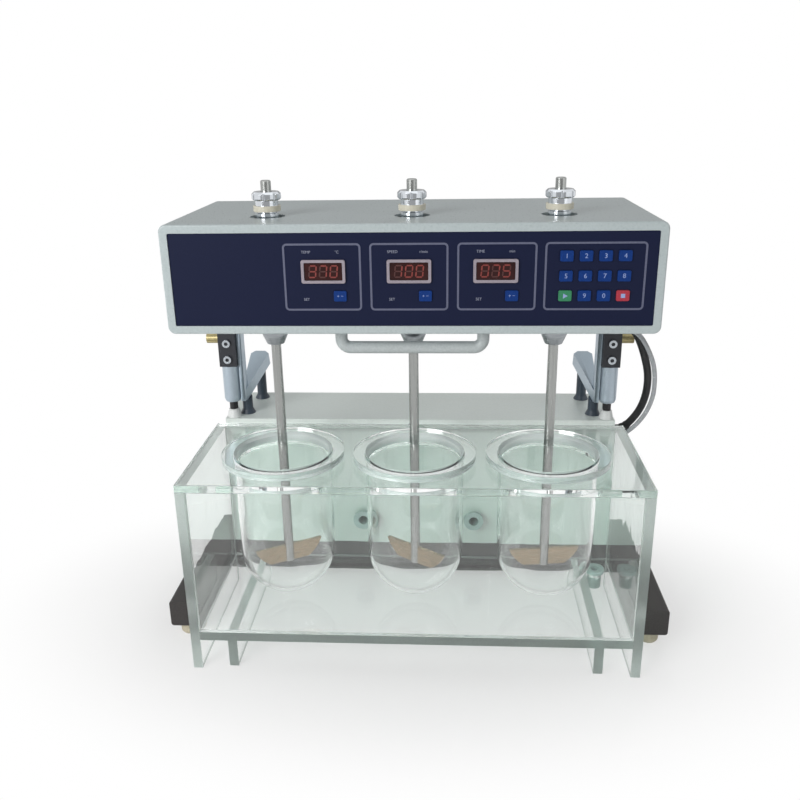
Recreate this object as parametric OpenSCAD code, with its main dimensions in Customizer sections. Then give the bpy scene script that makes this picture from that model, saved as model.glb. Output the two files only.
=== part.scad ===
// Three-vessel dissolution tester: a lifting drive head above a clear water bath.
// Millimetres, +Z up, front towards -Y, origin under the middle of the footprint.

/* [Layout] */
// Distance between neighbouring stirrer axes
pitch = 140; // [136:1:144]
// Y of the plane that holds the three stirrer axes
shaft_y = -59; // [-62:1:-56]
// Height of the head's underside above the bench
head_z = 365; // [362:1:370]

/* [Head] */
// Width of the head shell
head_w = 462; // [456:1:470]
// Height of the head shell
head_h = 103; // [101:1:108]
// Depth of the head shell
head_d = 191; // [188:1:196]
// From the stirrer plane forward to the head's front face
head_fwd = 56; // [55:1:60]
// Sheet thickness of the head shell
shell_t = 2.5; // [2:0.1:3]
// Thickness of the shell's front frame
frame_t = 3; // [2.5:0.1:3.5]
// Edge radius of the head shell
head_r = 7; // [6:0.5:9]
// Width of the flange left around the open underside
flange_w = 14; // [10:1:16]
// Thickness of the head's base plate
base_t = 2.5; // [2:0.1:3.5]
// Diameter of the clearance holes round the spindles in the top
top_hole_d = 34; // [32:0.5:38]

/* [Panel] */
// Width of the shell's front frame beside the panel
panel_edge = 8; // [7:0.5:12]
// Height of the shell's front frame below the panel
panel_low = 8; // [7:0.5:10]
// Height of the front panel
panel_h = 87; // [84:1:88]
// Corner radius of the panel and of its opening
panel_r = 1.5; // [1:0.5:4]
// How far the panel's face lies behind the frame's face
panel_recess = 1; // [0.5:0.1:1.5]
// Thickness of the panel's rear flange
panel_flange_t = 1.5; // [1:0.1:2]
// Distance between neighbouring displays
display_pitch = 79; // [77:0.5:81]
// X of the middle display
display_x = -1; // [-4:0.5:2]
// Width of a display window
window_w = 35.5; // [32:0.5:36]
// Height of a display window
window_h = 16.5; // [15:0.5:18]
// Width of the bezel strip round a window
bezel_w = 2.6; // [2:0.1:4]
// How far a bezel stands out from the panel
bezel_t = 2; // [1:0.1:3]
// Height of the window centres above the panel's centre
window_up = 8; // [6:0.5:9]
// Width of a keypad key
key_w = 12; // [10:0.5:13]
// Height of a keypad key
key_h = 10; // [8:0.5:11]
// Distance between key columns
key_col = 17.4; // [16.5:0.1:18.5]
// Distance between key rows
key_row = 18.2; // [17:0.1:19]
// From the panel's right edge to the keypad's centre
keypad_in = 55.5; // [54:0.5:58]
// Height of the keypad's middle above the panel's centre
keypad_up = 3; // [1:0.5:4]
// How far keys stand out from the panel
key_out = 1.5; // [1.2:0.1:2]
// Gap round a key in its panel hole
key_gap = 0.25; // [0.2:0.05:0.4]
// Width of the flange that keeps a key behind the panel
key_lip = 1; // [0.8:0.1:1.2]
// X of a display's button from its display centre
button_dx = 15; // [12:0.5:17]
// Depth of the display buttons' centres below the panel's centre
button_dn = 15; // [14:0.5:17]
// Room between the panel's rear and the circuit board
board_gap = 4.5; // [4:0.1:7]
// Thickness of the circuit board
board_t = 1.6; // [1.2:0.1:2]

/* [Spindles] */
// Diameter of the spindle tube in its bushing
spindle_d = 14; // [13.5:0.1:15]
// Running clearance on radius of shafts and bushings
run_gap = 0.05; // [0.03:0.01:0.08]
// Outer diameter of a bushing
bushing_d = 27; // [26:0.5:29]
// Diameter of the bushing's lower nose
bushing_nose_d = 17.5; // [17:0.5:20]
// Length of the bushing below the head's underside
bushing_drop = 24; // [20:1:26]
// Height of the bushing above the base plate
bushing_rise = 55; // [50:1:57]
// Diameter of the pulleys under the belt
pulley_d = 56; // [52:1:58]
// Width of the drive belt
belt_w = 10; // [8:0.5:11]
// Thickness of the drive belt
belt_t = 2; // [1.5:0.1:2.5]
// Diameter of the spindle above the head
neck_d = 22; // [20:0.5:24]
// Diameter of the spindle's upper collar
collar_d = 26; // [25:0.5:28]
// Diameter of the chuck nut
nut_d = 28; // [27:0.5:31]
// Height of the chuck nut
nut_h = 8; // [7:0.5:10]
// Thread diameter under the chuck nut
thread_d = 16; // [15:0.5:18]
// Diameter of the motor
motor_d = 56; // [50:1:58]
// Diameter of the motor shaft
motor_shaft_d = 8; // [7:0.5:9]
// Length of the motor shaft below its pulley
motor_shaft_l = 26; // [22:1:27]

/* [Stirrers] */
// Diameter of the stirrer shaft
shaft_d = 10; // [9.4:0.1:10.2]
// Height of the shaft's free end above the chuck nut
shaft_out = 10.5; // [8:0.5:16]
// Width of the blade's circle
blade_r = 41.5; // [40.5:0.1:42]
// Height of the blade
blade_h = 19; // [18:0.5:20]
// Thickness of the blade
blade_t = 4; // [3:0.5:5]
// Height of the blade's circle centre above its lower edge
blade_c = 35; // [34:0.5:36]
// Gap between the vessel's inner bottom and the blade
blade_clear = 30; // [25:1:34]

/* [Vessels] */
// Outer diameter of the vessel
vessel_d = 103; // [101:0.5:106]
// Glass thickness
glass_t = 2.5; // [2:0.1:3]
// Height of the vessel over its rim
vessel_h = 163; // [160:1:165]
// Outer diameter of the rim
rim_d = 130; // [126:1:134]
// Thickness of the rim
rim_t = 7.5; // [6:0.5:9]
// Gap between vessel and lid hole on radius
vessel_gap = 1; // [0.5:0.1:2]

/* [Bath] */
// Width of the bath
bath_w = 473; // [466:1:476]
// Y of the bath's front face
bath_front = -135; // [-137:1:-133]
// Depth of the bath
bath_d = 172; // [170:1:172]
// Thickness of the side walls
bath_side_t = 10; // [8:0.5:11]
// Thickness of the front and back walls
bath_wall_t = 8; // [6:0.5:9]
// Height of the underside of the floor above the bench
floor_z = 35; // [32:1:38]
// Thickness of the floor
floor_t = 10; // [8:0.5:11]
// Thickness of the lid plate
lid_t = 8; // [6:0.5:9]
// Height of the lid's top
lid_top = 215.5; // [214:0.5:218]
// From a side wall's inner face to the middle of its runner
runner_in = 33; // [27:0.5:42]
// From the right wall's inner face to the drain
drain_in = 18.5; // [17:0.5:20.5]
// Y of the drain in the floor
drain_y = 3; // [-4:1:10]
// X of the two water connections in the back wall
port_x = 66; // [60:1:70]
// Diameter of the water connections
port_d = 16; // [14:0.5:18]

/* [Base] */
// Gap between the bath and a base bar
bar_gap = 5.5; // [3:0.5:8]
// Width of a base bar
bar_w = 34; // [30:1:35]
// Height of a base bar
bar_h = 31; // [28:1:33]
// Edge radius of a base bar
bar_r = 3; // [2:0.5:4]
// Y of the front ends of the base bars
bar_front = -82; // [-90:1:-75]
// Height of a foot
foot_h = 16; // [14:0.5:18]
// Diameter of a foot
foot_d = 22; // [20:1:26]
// From a base bar's end to the middle of its foot
foot_in = 16; // [14:1:20]
// Height of the plinth above the bars
plinth_h = 16; // [14:1:18]
// How far the plinth's front lies behind the cabinet's front
plinth_in = 2; // [1:0.5:4]

/* [Cabinet] */
// How far the cabinet's sides lie inside the head's sides
cabinet_in = 4; // [2:0.5:5]
// Gap between bath and cabinet
cabinet_gap = 1; // [0.5:0.1:2]
// Y of the cabinet's rear panel face
cabinet_back_y = 133; // [132:0.5:134]
// Height of the cabinet's top
cabinet_top = 221; // [219:0.5:223]
// Sheet thickness of the cabinet
sheet_t = 2; // [1.5:0.1:2.5]
// Diameter of the circulation pump
pump_d = 64; // [60:1:64]
// Length of the circulation pump
pump_l = 40; // [36:1:44]
// Diameter of the pump's motor
pump_motor_d = 46; // [42:1:50]
// Length of the pump's motor
pump_motor_l = 24; // [20:1:26]
// Diameter of the water heater
heater_d = 50; // [46:1:54]
// X of the heater's right end
heater_end = 20; // [16:1:24]
// From the cabinet's front to the heater's axis
heater_in = 41; // [39:1:43]
// Length of the water connections inside the cabinet
port_reach = 14; // [12:1:15]
// Diameter of the rear panel's screw heads
screw_d = 7; // [6:0.5:8]
// Height of the rear panel's screw heads
screw_h = 2; // [1.5:0.1:2]
// From the cabinet's left side to the power inlet's middle
inlet_in = 77; // [67:1:87]
// Height of the power inlet
inlet_z = 110; // [100:1:130]
// From the inlet's middle to the left side of its body
inlet_left = 24; // [22:0.5:26]
// Height of the inlet's body
inlet_h = 28; // [26:0.5:32]
// Depth of the inlet's body behind the rear panel's face
inlet_depth = 26; // [24:1:30]
// Width of the inlet's flange round its body
inlet_lip = 3; // [2:0.5:4]
// From the inlet's middle to the middle of the rocker switch
rocker_dx = 46; // [44:1:50]
// From the rocker's middle to the right side of the inlet's body
rocker_right = 10; // [9.5:0.5:12]

/* [Lift] */
// From the head's side to a lift pillar's axis
pillar_in = 13; // [12.5:0.5:15]
// Y of the lift pillars
pillar_y = 47; // [47:0.5:49]
// Diameter of a lift pillar
pillar_d = 15; // [14:0.5:16]
// How far a pillar's sleeve lies inside its slider block's sides
pillar_foot_in = 0.2; // [0.1:0.1:1]
// Height of the rounded lower end of a pillar's sleeve
pillar_nose = 5; // [3:0.5:6]
// Diameter of a pillar's spigot in its seat
spigot_d = 6; // [5:0.5:7]
// Diameter of a pillar seat on the cabinet
seat_d = 16.4; // [15:0.2:17]
// Height of a pillar seat
seat_h = 10; // [8:0.5:12]
// Diameter of the ring between seat and pillar
ring_d = 9.6; // [9:0.2:12]
// Height of the ring between seat and pillar
ring_h = 9; // [7:0.5:11]
// Width of a slider block
block_w = 20; // [19:0.5:20.5]
// Depth of a slider block
block_d = 20; // [18:0.5:22]
// How far a slider block hangs below the head
block_drop = 80; // [76:1:84]
// Thickness of a guide plate
plate_t = 5; // [4:0.5:6]
// Depth of a guide plate
plate_d = 16; // [14:1:18]
// Gap between a slider block and its guide plate
slide_gap = 0.25; // [0.2:0.05:0.5]
// Width of a guide bar at its far end
arm_w = 22; // [20:0.5:23]
// Height of a guide bar
arm_h = 16; // [14:0.5:17]
// Slope of a guide bar towards the back
arm_tilt = 22.5; // [20:0.5:24]
// Height of a guide bar's underside at the near post
arm_z = 241; // [240:0.5:244]
// How far a guide bar's far end lies inwards of its plate
arm_in = 7.5; // [6:0.5:8]
// From the near post's axis to a guide bar's near end
arm_near = 6; // [4:0.5:8]
// From the far post's axis to a guide bar's far end
arm_far = 8; // [7:0.5:10]
// Cut corners of a guide bar's far end
arm_cut = 5; // [3:0.5:6]
// Y of the near guide post
post_y1 = 60; // [59:0.5:62]
// Y of the far guide post
post_y2 = 114; // [112:0.5:116]
// Diameter of a guide post
post_d = 12; // [11:0.5:13]
// Diameter of a lock knob
knob_d = 12; // [11:0.5:14]
// Length of a lock knob outside its block
knob_l = 14; // [11:0.5:15]
// Height of the lock knobs above the blocks' lower ends
knob_up = 32; // [30:0.5:36]
// Head diameter of a slider block's screws
block_screw_d = 9; // [8:0.5:10]
// Head height of a slider block's screws
block_screw_h = 3; // [2.5:0.1:3.5]
// Height of the lower screw above a slider block's lower end
block_screw_up = 9; // [7:0.5:10]
// Distance between the two screws of a slider block
block_screw_gap = 19; // [17:0.5:20]

/* [Handle] */
// Diameter of the handle bar
handle_d = 12; // [11:0.5:13]
// Half the distance between the handle's legs
handle_x = 69; // [65:1:73]
// Distance of the handle in front of the stirrer plane
handle_fwd = 28; // [26:1:30]
// Depth of the handle's bar below the head
handle_drop = 20.5; // [19:0.5:23]
// Bend radius of the handle
handle_r = 9; // [8:0.5:11]

/* [Cords] */
// Diameter of the signal cable
cable_d = 8.5; // [7:0.5:9]
// Diameter of the grey tube
tube_d = 5; // [4.5:0.5:6]

/* [Hidden] */
$fn = 64;
eps = 0.01;
cabinet_w = head_w - 2 * cabinet_in;
pillar_x = head_w / 2 - pillar_in;
panel_w = head_w - 2 * panel_edge;
keypad_x = panel_w / 2 - keypad_in;
wall_in = bath_w / 2 - bath_side_t;
runner_x = wall_in - runner_in;
drain_x = wall_in - drain_in;
bar_x = bath_w / 2 + bar_gap + bar_w;
inlet_x = -cabinet_w / 2 + inlet_in;
head_front = shaft_y - head_fwd;
head_back = head_front + head_d;
head_top = head_z + head_h;
panel_cz = head_z + panel_low + panel_h / 2;
keypad_z = panel_cz + keypad_up;
panel_face = head_front + panel_recess;
panel_rear = head_front + frame_t + panel_flange_t;
board_y = panel_rear + board_gap;
window_z = panel_cz + window_up;
button_z = panel_cz - button_dn;
display_xs = [for (i = [-1:1]) display_x + i * display_pitch];
spindle_xs = [for (i = [-1:1]) i * pitch];
plate_z0 = head_z + shell_t;
plate_z1 = plate_z0 + base_t;
bore_d = shaft_d + 2 * run_gap;
thrust_z = plate_z1 + bushing_rise;
pulley_z = head_top - shell_t - 11.5 - belt_w - 3.5;
belt_z = pulley_z + 3;
pulley_top = belt_z + belt_w + 3;
collar_z = head_top + 5;
neck_z = collar_z + 5.5;
nut_z = neck_z + 5;
nut_top = nut_z + nut_h;
shaft_top = nut_top + shaft_out;
vessel_top = lid_top + rim_t;
vessel_bot = vessel_top - vessel_h;
blade_z = vessel_bot + glass_t + blade_clear;
bath_back = bath_front + bath_d;
wall_top = lid_top - lid_t;
floor_top = floor_z + floor_t;
cab_front = bath_back + cabinet_gap;
cab_floor = foot_h + bar_h + plinth_h;
cab_rear = cabinet_back_y - sheet_t;
pump_cz = cab_floor + sheet_t + pump_d / 2;
port_z = pump_cz;
motor_x = pitch / 2;
port_end = cab_front + port_reach;
heater_y = cab_front + heater_in;
block_z = head_z - block_drop;
block_in = pillar_x - block_w / 2;
plate_x = block_in - slide_gap - plate_t / 2;
plate_y = pillar_y + 4;
knob_z = block_z + knob_up;
arm_y0 = post_y1 - arm_near;
arm_y1 = post_y2 + arm_far;
function arm_x(y) = plate_x - arm_in * (y - arm_y0) / (arm_y1 - arm_y0);
function arm_l(y) = (y - post_y1) / cos(arm_tilt);
pillar_foot_d = block_w - 2 * pillar_foot_in;
rocker_x = inlet_x + rocker_dx;
rocker_y = cabinet_back_y - 6.5;
rocker_off = 10;
// Route of the signal cable from the head's underside to the cabinet's right side,
// with X counted from the head's right side
cable_route = [[-25, 22, 366], [-25, 22, 357], [-21, 22, 348], [-12, 22, 341], [-1, 23, 336],
    [8, 24, 329], [15, 25, 316], [21, 27, 300], [26, 30, 282], [28, 35, 263], [27, 41, 245],
    [23, 47, 229], [16, 54, 214], [9, 60, 204], [1, 62, 200], [-4, 62, 200]];
cable_pts = [for (p = cable_route) p + [head_w / 2, 0, 0]];
// Route of the grey tube, outside the cable
tube_route = [[-25, 3, 366], [-25, 3, 357], [-21, 4, 349], [-12, 6, 343], [-1, 9, 337],
    [10, 12, 329], [18, 15, 318], [26, 20, 303], [31, 23, 289], [34, 27, 271], [34.5, 33, 251],
    [30.5, 40, 231], [23.5, 48, 214], [15, 57, 200], [9, 66, 191], [4, 72, 188.5],
    [-0.5, 74, 188], [-4, 74, 188]];
tube_pts = [for (p = tube_route) p + [head_w / 2, 0, 0]];
cable_in = cable_pts[0];
cable_out = cable_pts[len(cable_pts) - 1];
tube_in = tube_pts[0];
tube_out = tube_pts[len(tube_pts) - 1];

// Rounded rectangle, flat, centred
module rrect(w, h, r) {
    square([w - 2 * r, h], center = true);
    square([w, h - 2 * r], center = true);
    for (sx = [-1, 1], sy = [-1, 1])
        translate([sx * (w / 2 - r), sy * (h / 2 - r)]) circle(r);
}

// Block with a rounded X-Z outline between two Y values
module xz_block(w, h, r, y0, y1) {
    translate([0, y1, 0]) rotate([90, 0, 0]) linear_extrude(y1 - y0) rrect(w, h, r);
}

// Box between two corners
module box(a, b) {
    translate(a) cube(b - a);
}

// Copy mirrored to both sides of the X = 0 plane
module both() {
    children();
    mirror([1, 0, 0]) children();
}

// Cylinder along Y between two Y values
module y_rod(d, x, z, y0, y1) {
    translate([x, y1, z]) rotate([90, 0, 0]) cylinder(d = d, h = y1 - y0);
}

// Cylinder along X between two X values
module x_rod(d, y, z, x0, x1) {
    translate([x0, y, z]) rotate([0, 90, 0]) cylinder(d = d, h = x1 - x0);
}

// Unit vector
function unit(v) = v / norm(v);
// Tangent at point i of a route
function tangent(p, i) = unit(p[min(i + 1, len(p) - 1)] - p[max(i - 1, 0)]);
// Point k of a ring of n round point i, turned with the route
function ring(p, i, d, n) = let (
    t = tangent(p, i),
    u = unit(cross(t, [0.2, 1, 0.1])),
    v = cross(t, u)
) [for (k = [0:n - 1]) p[i] + d / 2 * (cos(360 * k / n) * u + sin(360 * k / n) * v)];

// Tube of n sides along a route
module cord(p, d, n) {
    m = len(p);
    pts = [for (i = [0:m - 1]) each ring(p, i, d, n)];
    sides = [for (i = [0:m - 2], k = [0:n - 1])
        [i * n + k, i * n + (k + 1) % n, (i + 1) * n + (k + 1) % n, (i + 1) * n + k]];
    ends = [[for (k = [n - 1:-1:0]) k], [for (k = [0:n - 1]) (m - 1) * n + k]];
    polyhedron(pts, concat(sides, ends));
}

// Black U-shaped base: two bars beside the bath and a plinth under the cabinet
module base_frame() color("#2b2b2c") {
    both() translate([bar_x - bar_w / 2, 0, foot_h + bar_h / 2])
        xz_block(bar_w, bar_h, bar_r, bar_front, cab_rear);
    box([-(bar_x - bar_w), cab_front + plinth_in, foot_h], [bar_x - bar_w, cab_rear, foot_h + bar_h]);
    box([-cabinet_w / 2, cab_front + plinth_in, foot_h + bar_h], [cabinet_w / 2, cab_rear, cab_floor]);
}

// Four beige rubber feet under the bars
module feet() color("#c9c2ae") both() for (y = [bar_front + foot_in, cab_rear - foot_in])
    translate([bar_x - bar_w / 2, y, 0]) rotate_extrude()
        polygon([[0, 0], [foot_d / 2 - 3, 0], [foot_d / 2, 3], [foot_d / 2, foot_h], [0, foot_h]]);

// Folded sheet cabinet, open at the rear
module cabinet_shell() color("#d3d8d6") difference() {
    box([-cabinet_w / 2, cab_front, cab_floor], [cabinet_w / 2, cab_rear, cabinet_top]);
    box([-cabinet_w / 2 + sheet_t, cab_front + sheet_t, cab_floor + sheet_t],
        [cabinet_w / 2 - sheet_t, cab_rear + 1, cabinet_top - sheet_t]);
    for (s = [-1, 1]) y_rod(port_d, s * port_x, port_z, cab_front - 1, cab_front + sheet_t + 1);
    x_rod(cable_d + 4, cable_out[1], cable_out[2], cabinet_w / 2 - sheet_t - 1, cabinet_w / 2 + 1);
    x_rod(tube_d + 4, tube_out[1], tube_out[2], cabinet_w / 2 - sheet_t - 1, cabinet_w / 2 + 1);
}

// Flat rear panel of the cabinet with the cut-out of the power inlet
module cabinet_back() color("#c8cdcb") difference() {
    box([-cabinet_w / 2, cab_rear, cab_floor], [cabinet_w / 2, cabinet_back_y, cabinet_top]);
    box([inlet_x - inlet_left, cab_rear - 1, inlet_z - inlet_h / 2],
        [rocker_x + rocker_right, cabinet_back_y + 1, inlet_z + inlet_h / 2]);
}

// Six pan-head screws of the rear panel
module case_screws() color("#b9bcc0")
    for (x = [-cabinet_w / 2 + 10, 0, cabinet_w / 2 - 10], z = [cab_floor + 10, cabinet_top - 10])
        y_rod(screw_d, x, z, cabinet_back_y, cabinet_back_y + screw_h);

// Power inlet with three pins and the frame of the rocker switch
module power_inlet() color("#1d1d1f") {
    difference() {
        union() {
            box([inlet_x - inlet_left - inlet_lip, cabinet_back_y, inlet_z - inlet_h / 2 - inlet_lip],
                [rocker_x + rocker_right + inlet_lip, cabinet_back_y + screw_h,
                    inlet_z + inlet_h / 2 + inlet_lip]);
            box([inlet_x - inlet_left, cabinet_back_y - inlet_depth, inlet_z - inlet_h / 2],
                [rocker_x + rocker_right, cabinet_back_y, inlet_z + inlet_h / 2]);
        }
        box([inlet_x - 15, cabinet_back_y - 16, inlet_z - 10],
            [inlet_x + 15, cabinet_back_y + screw_h + 1, inlet_z + 10]);
        box([rocker_x - 6.5, rocker_y - 11, inlet_z - 11],
            [rocker_x + 6.5, cabinet_back_y + screw_h + 1, inlet_z + 11]);
        x_rod(4 + 2 * run_gap, rocker_y, inlet_z, rocker_x - 8.5, rocker_x + 8.5);
    }
    for (i = [-1:1]) box([inlet_x + 8 * i - 1, cabinet_back_y - 17, inlet_z - 3],
        [inlet_x + 8 * i + 1, cabinet_back_y - 3, inlet_z + 3]);
}

// Rocker of the power switch on its pin, lying in the off position
module power_switch() color("#3a3a3d") {
    translate([rocker_x - 6, rocker_y, inlet_z]) rotate([-rocker_off, 0, 0])
        rotate([90, 0, 90]) linear_extrude(12)
            polygon([[-4, -4], [-4, 4], [3, 9.5], [6.5, 9], [4.5, 0], [6.5, -9], [3, -9.5]]);
    x_rod(4, rocker_y, inlet_z, rocker_x - 8, rocker_x + 8);
}

// Circulation pump on the cabinet floor, its inlet on the right water connection
module circulation_pump() color("#4a4f55") {
    y_rod(pump_d, port_x, pump_cz, port_end, port_end + pump_l);
    y_rod(pump_motor_d, port_x, pump_cz, port_end + pump_l, port_end + pump_l + pump_motor_l);
    x_rod(port_d, heater_y, pump_cz, heater_end, port_x - pump_d / 2 + 6);
}

// Tubular water heater, fed by the pump and joined to the left water connection
module water_heater() color("#b8bcc0") {
    difference() {
        union() {
            x_rod(heater_d, heater_y, pump_cz, -2 * port_x + 10, heater_end);
            y_rod(port_d, -port_x, port_z, port_end, heater_y);
        }
        x_rod(heater_d - 6, heater_y, pump_cz, -2 * port_x + 14, heater_end - 4);
        y_rod(port_d - 5, -port_x, port_z, port_end - 1, heater_y);
    }
    for (x = [-2 * port_x + 24, heater_end - 20])
        box([x - 4, heater_y - 10, cab_floor + sheet_t], [x + 4, heater_y + 10, pump_cz - heater_d / 2 + 2.5]);
}

// Clear acrylic bath glued from plates; its side walls and two runners are its legs
module bath_tank() color("#cfe3df", 0.35) difference() {
    union() {
        both() box([bath_w / 2 - bath_side_t, bath_front, 0], [bath_w / 2, bath_back, wall_top]);
        box([-bath_w / 2, bath_front, floor_z], [bath_w / 2, bath_front + bath_wall_t, wall_top]);
        box([-bath_w / 2, bath_back - bath_wall_t, floor_z], [bath_w / 2, bath_back, wall_top]);
        box([-bath_w / 2, bath_front, floor_z], [bath_w / 2, bath_back, floor_top]);
        both() box([runner_x - 5, bath_front + 5, 0], [runner_x + 5, bath_back, floor_z]);
    }
    for (s = [-1, 1]) y_rod(port_d, s * port_x, port_z, bath_back - bath_wall_t - 1, bath_back + 1);
    translate([drain_x, drain_y, floor_z - 1]) cylinder(d = port_d, h = floor_t + 2);
}

// Two water connections through the back wall and a drain fitting in the floor
module bath_ports() color("#9fb3b0") {
    for (s = [-1, 1]) difference() {
        union() {
            y_rod(port_d, s * port_x, port_z, bath_back - bath_wall_t - 3, port_end);
            y_rod(port_d + 8, s * port_x, port_z, bath_back - bath_wall_t - 4, bath_back - bath_wall_t);
        }
        y_rod(port_d - 5, s * port_x, port_z, bath_back - bath_wall_t - 5, port_end + 1);
    }
    translate([drain_x, drain_y, 0]) rotate_extrude() polygon([[port_d / 2 - 3, floor_z - 14],
        [port_d / 2, floor_z - 14], [port_d / 2, floor_top], [port_d / 2 + 3, floor_top],
        [port_d / 2 + 3, floor_top + 5], [port_d / 2 - 3, floor_top + 5]]);
}

// Clear lid plate that carries the vessels
module bath_lid() color("#cfe3df", 0.35) difference() {
    box([-bath_w / 2, bath_front, wall_top], [bath_w / 2, bath_back, lid_top]);
    for (x = spindle_xs) translate([x, shaft_y, wall_top - 1])
        cylinder(d = vessel_d + 2 * vessel_gap, h = lid_t + 2);
}

// One round-bottomed glass vessel with a flat ground rim
module vessel() {
    ro = vessel_d / 2;
    ri = ro - glass_t;
    difference() {
        union() {
            translate([0, 0, vessel_bot + ro]) cylinder(r = ro, h = vessel_h - ro);
            translate([0, 0, vessel_bot + ro]) sphere(r = ro);
            translate([0, 0, lid_top]) cylinder(d = rim_d, h = rim_t);
        }
        translate([0, 0, vessel_bot + ro]) cylinder(r = ri, h = vessel_h);
        translate([0, 0, vessel_bot + ro]) sphere(r = ri);
        translate([0, 0, vessel_top - 3]) cylinder(r1 = ri, r2 = ri + 3 + eps, h = 3 + eps);
    }
}

// Three glass vessels hanging by their rims in the lid
module vessels() color("#dcebe8", 0.3) for (x = spindle_xs) translate([x, shaft_y, 0]) vessel();

// Fixed guides: an upright plate that enters the head and a sloping bar on posts
module guide_brackets() color("#b9c0c4") both() {
    box([plate_x - plate_t / 2, plate_y - plate_d / 2, arm_z],
        [plate_x + plate_t / 2, plate_y + plate_d / 2, head_top - shell_t - 5]);
    translate([0, post_y1, arm_z]) rotate([arm_tilt, 0, 0]) linear_extrude(arm_h) polygon([
        [arm_x(arm_y0) - plate_t / 2, arm_l(arm_y0)], [arm_x(arm_y0) + plate_t / 2, arm_l(arm_y0)],
        [arm_x(arm_y1) + arm_w / 2, arm_l(arm_y1) - arm_cut],
        [arm_x(arm_y1) + arm_w / 2 - arm_cut, arm_l(arm_y1)],
        [arm_x(arm_y1) - arm_w / 2 + arm_cut, arm_l(arm_y1)],
        [arm_x(arm_y1) - arm_w / 2, arm_l(arm_y1) - arm_cut]]);
}

// Dark turned posts between the cabinet top and the sloping bars
module guide_posts() color("#33363c") both() difference() {
    for (y = [post_y1, post_y2]) translate([arm_x(y), y, cabinet_top]) {
        cylinder(d = post_d, h = arm_z + arm_h + 24 - cabinet_top);
        cylinder(d1 = post_d + 6, d2 = post_d, h = 6);
    }
    translate([plate_x, post_y1, arm_z]) rotate([arm_tilt, 0, 0])
        translate([-2 * arm_w, -40, 0]) cube([4 * arm_w, 160, 80]);
}

// Two polished pillars for the head's slider blocks, each with a spigot in its seat and a thick
// sleeve round its foot, a solid of its own, that its block comes down on
module lift_pillars() color("#d5dade") both() translate([pillar_x, pillar_y, cabinet_top]) {
    foot_z = seat_h + ring_h;
    foot_r = pillar_foot_d / 2;
    rod_r = pillar_d / 2;
    bore_r = rod_r + run_gap;
    nose_r = foot_r - pillar_nose * 0.7;
    stop_z = block_z - slide_gap - cabinet_top;
    top_z = head_top - shell_t - 6 - cabinet_top;
    rotate_extrude() polygon([[0, 0], [spigot_d / 2, 0], [spigot_d / 2, foot_z], [nose_r, foot_z],
        [rod_r, foot_z + (rod_r - nose_r) * 2 / 3], [rod_r, top_z], [0, top_z]]);
    rotate_extrude() polygon([[bore_r, foot_z + (bore_r - nose_r) * 2 / 3],
        [foot_r - pillar_nose * 0.25, foot_z + pillar_nose * 0.3],
        [foot_r, foot_z + pillar_nose], [foot_r, stop_z], [bore_r, stop_z]]);
}

// Conical pillar seats with a black ring on top, round the pillars' spigots
module pillar_mounts() color("#e6e8e6") both() translate([pillar_x, pillar_y, cabinet_top])
    rotate_extrude() polygon([[spigot_d / 2, 0], [seat_d / 2, 0], [ring_d / 2 + 1, seat_h],
        [ring_d / 2, seat_h], [ring_d / 2, seat_h + ring_h], [spigot_d / 2, seat_h + ring_h]]);

// Glands of the cable and the tube in the cabinet's right side
module cabinet_glands() color("#26262a") {
    for (g = [[cable_d, cable_out], [tube_d, tube_out]]) {
        x_rod(g[0] + 4, g[1][1], g[1][2], cabinet_w / 2 - sheet_t - 4, cabinet_w / 2);
        x_rod(g[0] + 9, g[1][1], g[1][2], cabinet_w / 2 - sheet_t - 7, cabinet_w / 2 - sheet_t - 4 + 4);
    }
}

// Painted head shell with a front frame, open below
module head_shell() color("#b4bcc4") difference() {
    translate([0, 0, head_z + head_h / 2]) xz_block(head_w, head_h, head_r, head_front, head_back);
    translate([0, 0, head_z + head_h / 2]) xz_block(head_w - 2 * shell_t, head_h - 2 * shell_t,
        head_r - shell_t, head_front + frame_t, head_back - shell_t);
    translate([0, 0, panel_cz]) xz_block(panel_w, panel_h, panel_r, head_front - 1, head_front + frame_t + 1);
    box([-head_w / 2 + flange_w, head_front + flange_w, head_z - 1],
        [head_w / 2 - flange_w, head_back - flange_w, head_z + shell_t + eps]);
    both() box([block_in - slide_gap, pillar_y - block_d / 2 - slide_gap, head_z - 1],
        [block_in + block_w + slide_gap, pillar_y + block_d / 2 + slide_gap, head_z + head_r]);
    for (x = spindle_xs) translate([x, shaft_y, head_top - shell_t - 1])
        cylinder(d = top_hole_d, h = shell_t + 2);
}

// Base plate inside the head, with holes for bushings, pillars, guides and cords
module head_base() color("#9aa2a8") difference() {
    box([-head_w / 2 + head_r, panel_rear + 1, plate_z0], [head_w / 2 - head_r, head_back - shell_t, plate_z1]);
    for (x = spindle_xs) translate([x, shaft_y, plate_z0 - 1]) cylinder(d = bushing_d, h = base_t + 2);
    both() translate([pillar_x, pillar_y, plate_z0 - 1]) cylinder(d = pillar_d + 2, h = base_t + 2);
    both() box([plate_x - plate_t / 2 - 1, plate_y - plate_d / 2 - 1, plate_z0 - 1],
        [plate_x + plate_t / 2 + 1, plate_y + plate_d / 2 + 1, plate_z1 + 1]);
    translate([cable_in[0], cable_in[1], plate_z0 - 1]) cylinder(d = cable_d + 4, h = base_t + 2);
    translate([tube_in[0], tube_in[1], plate_z0 - 1]) cylinder(d = tube_d + 4, h = base_t + 2);
}

// X and Z of keypad key number i, counted by rows from the top left
function key_at(i) = [keypad_x + (i % 4 - 1.5) * key_col, keypad_z - (floor(i / 4) - 1) * key_row];
// Centres of the three display buttons
button_at = [for (x = display_xs) [x + button_dx, button_z]];

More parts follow.
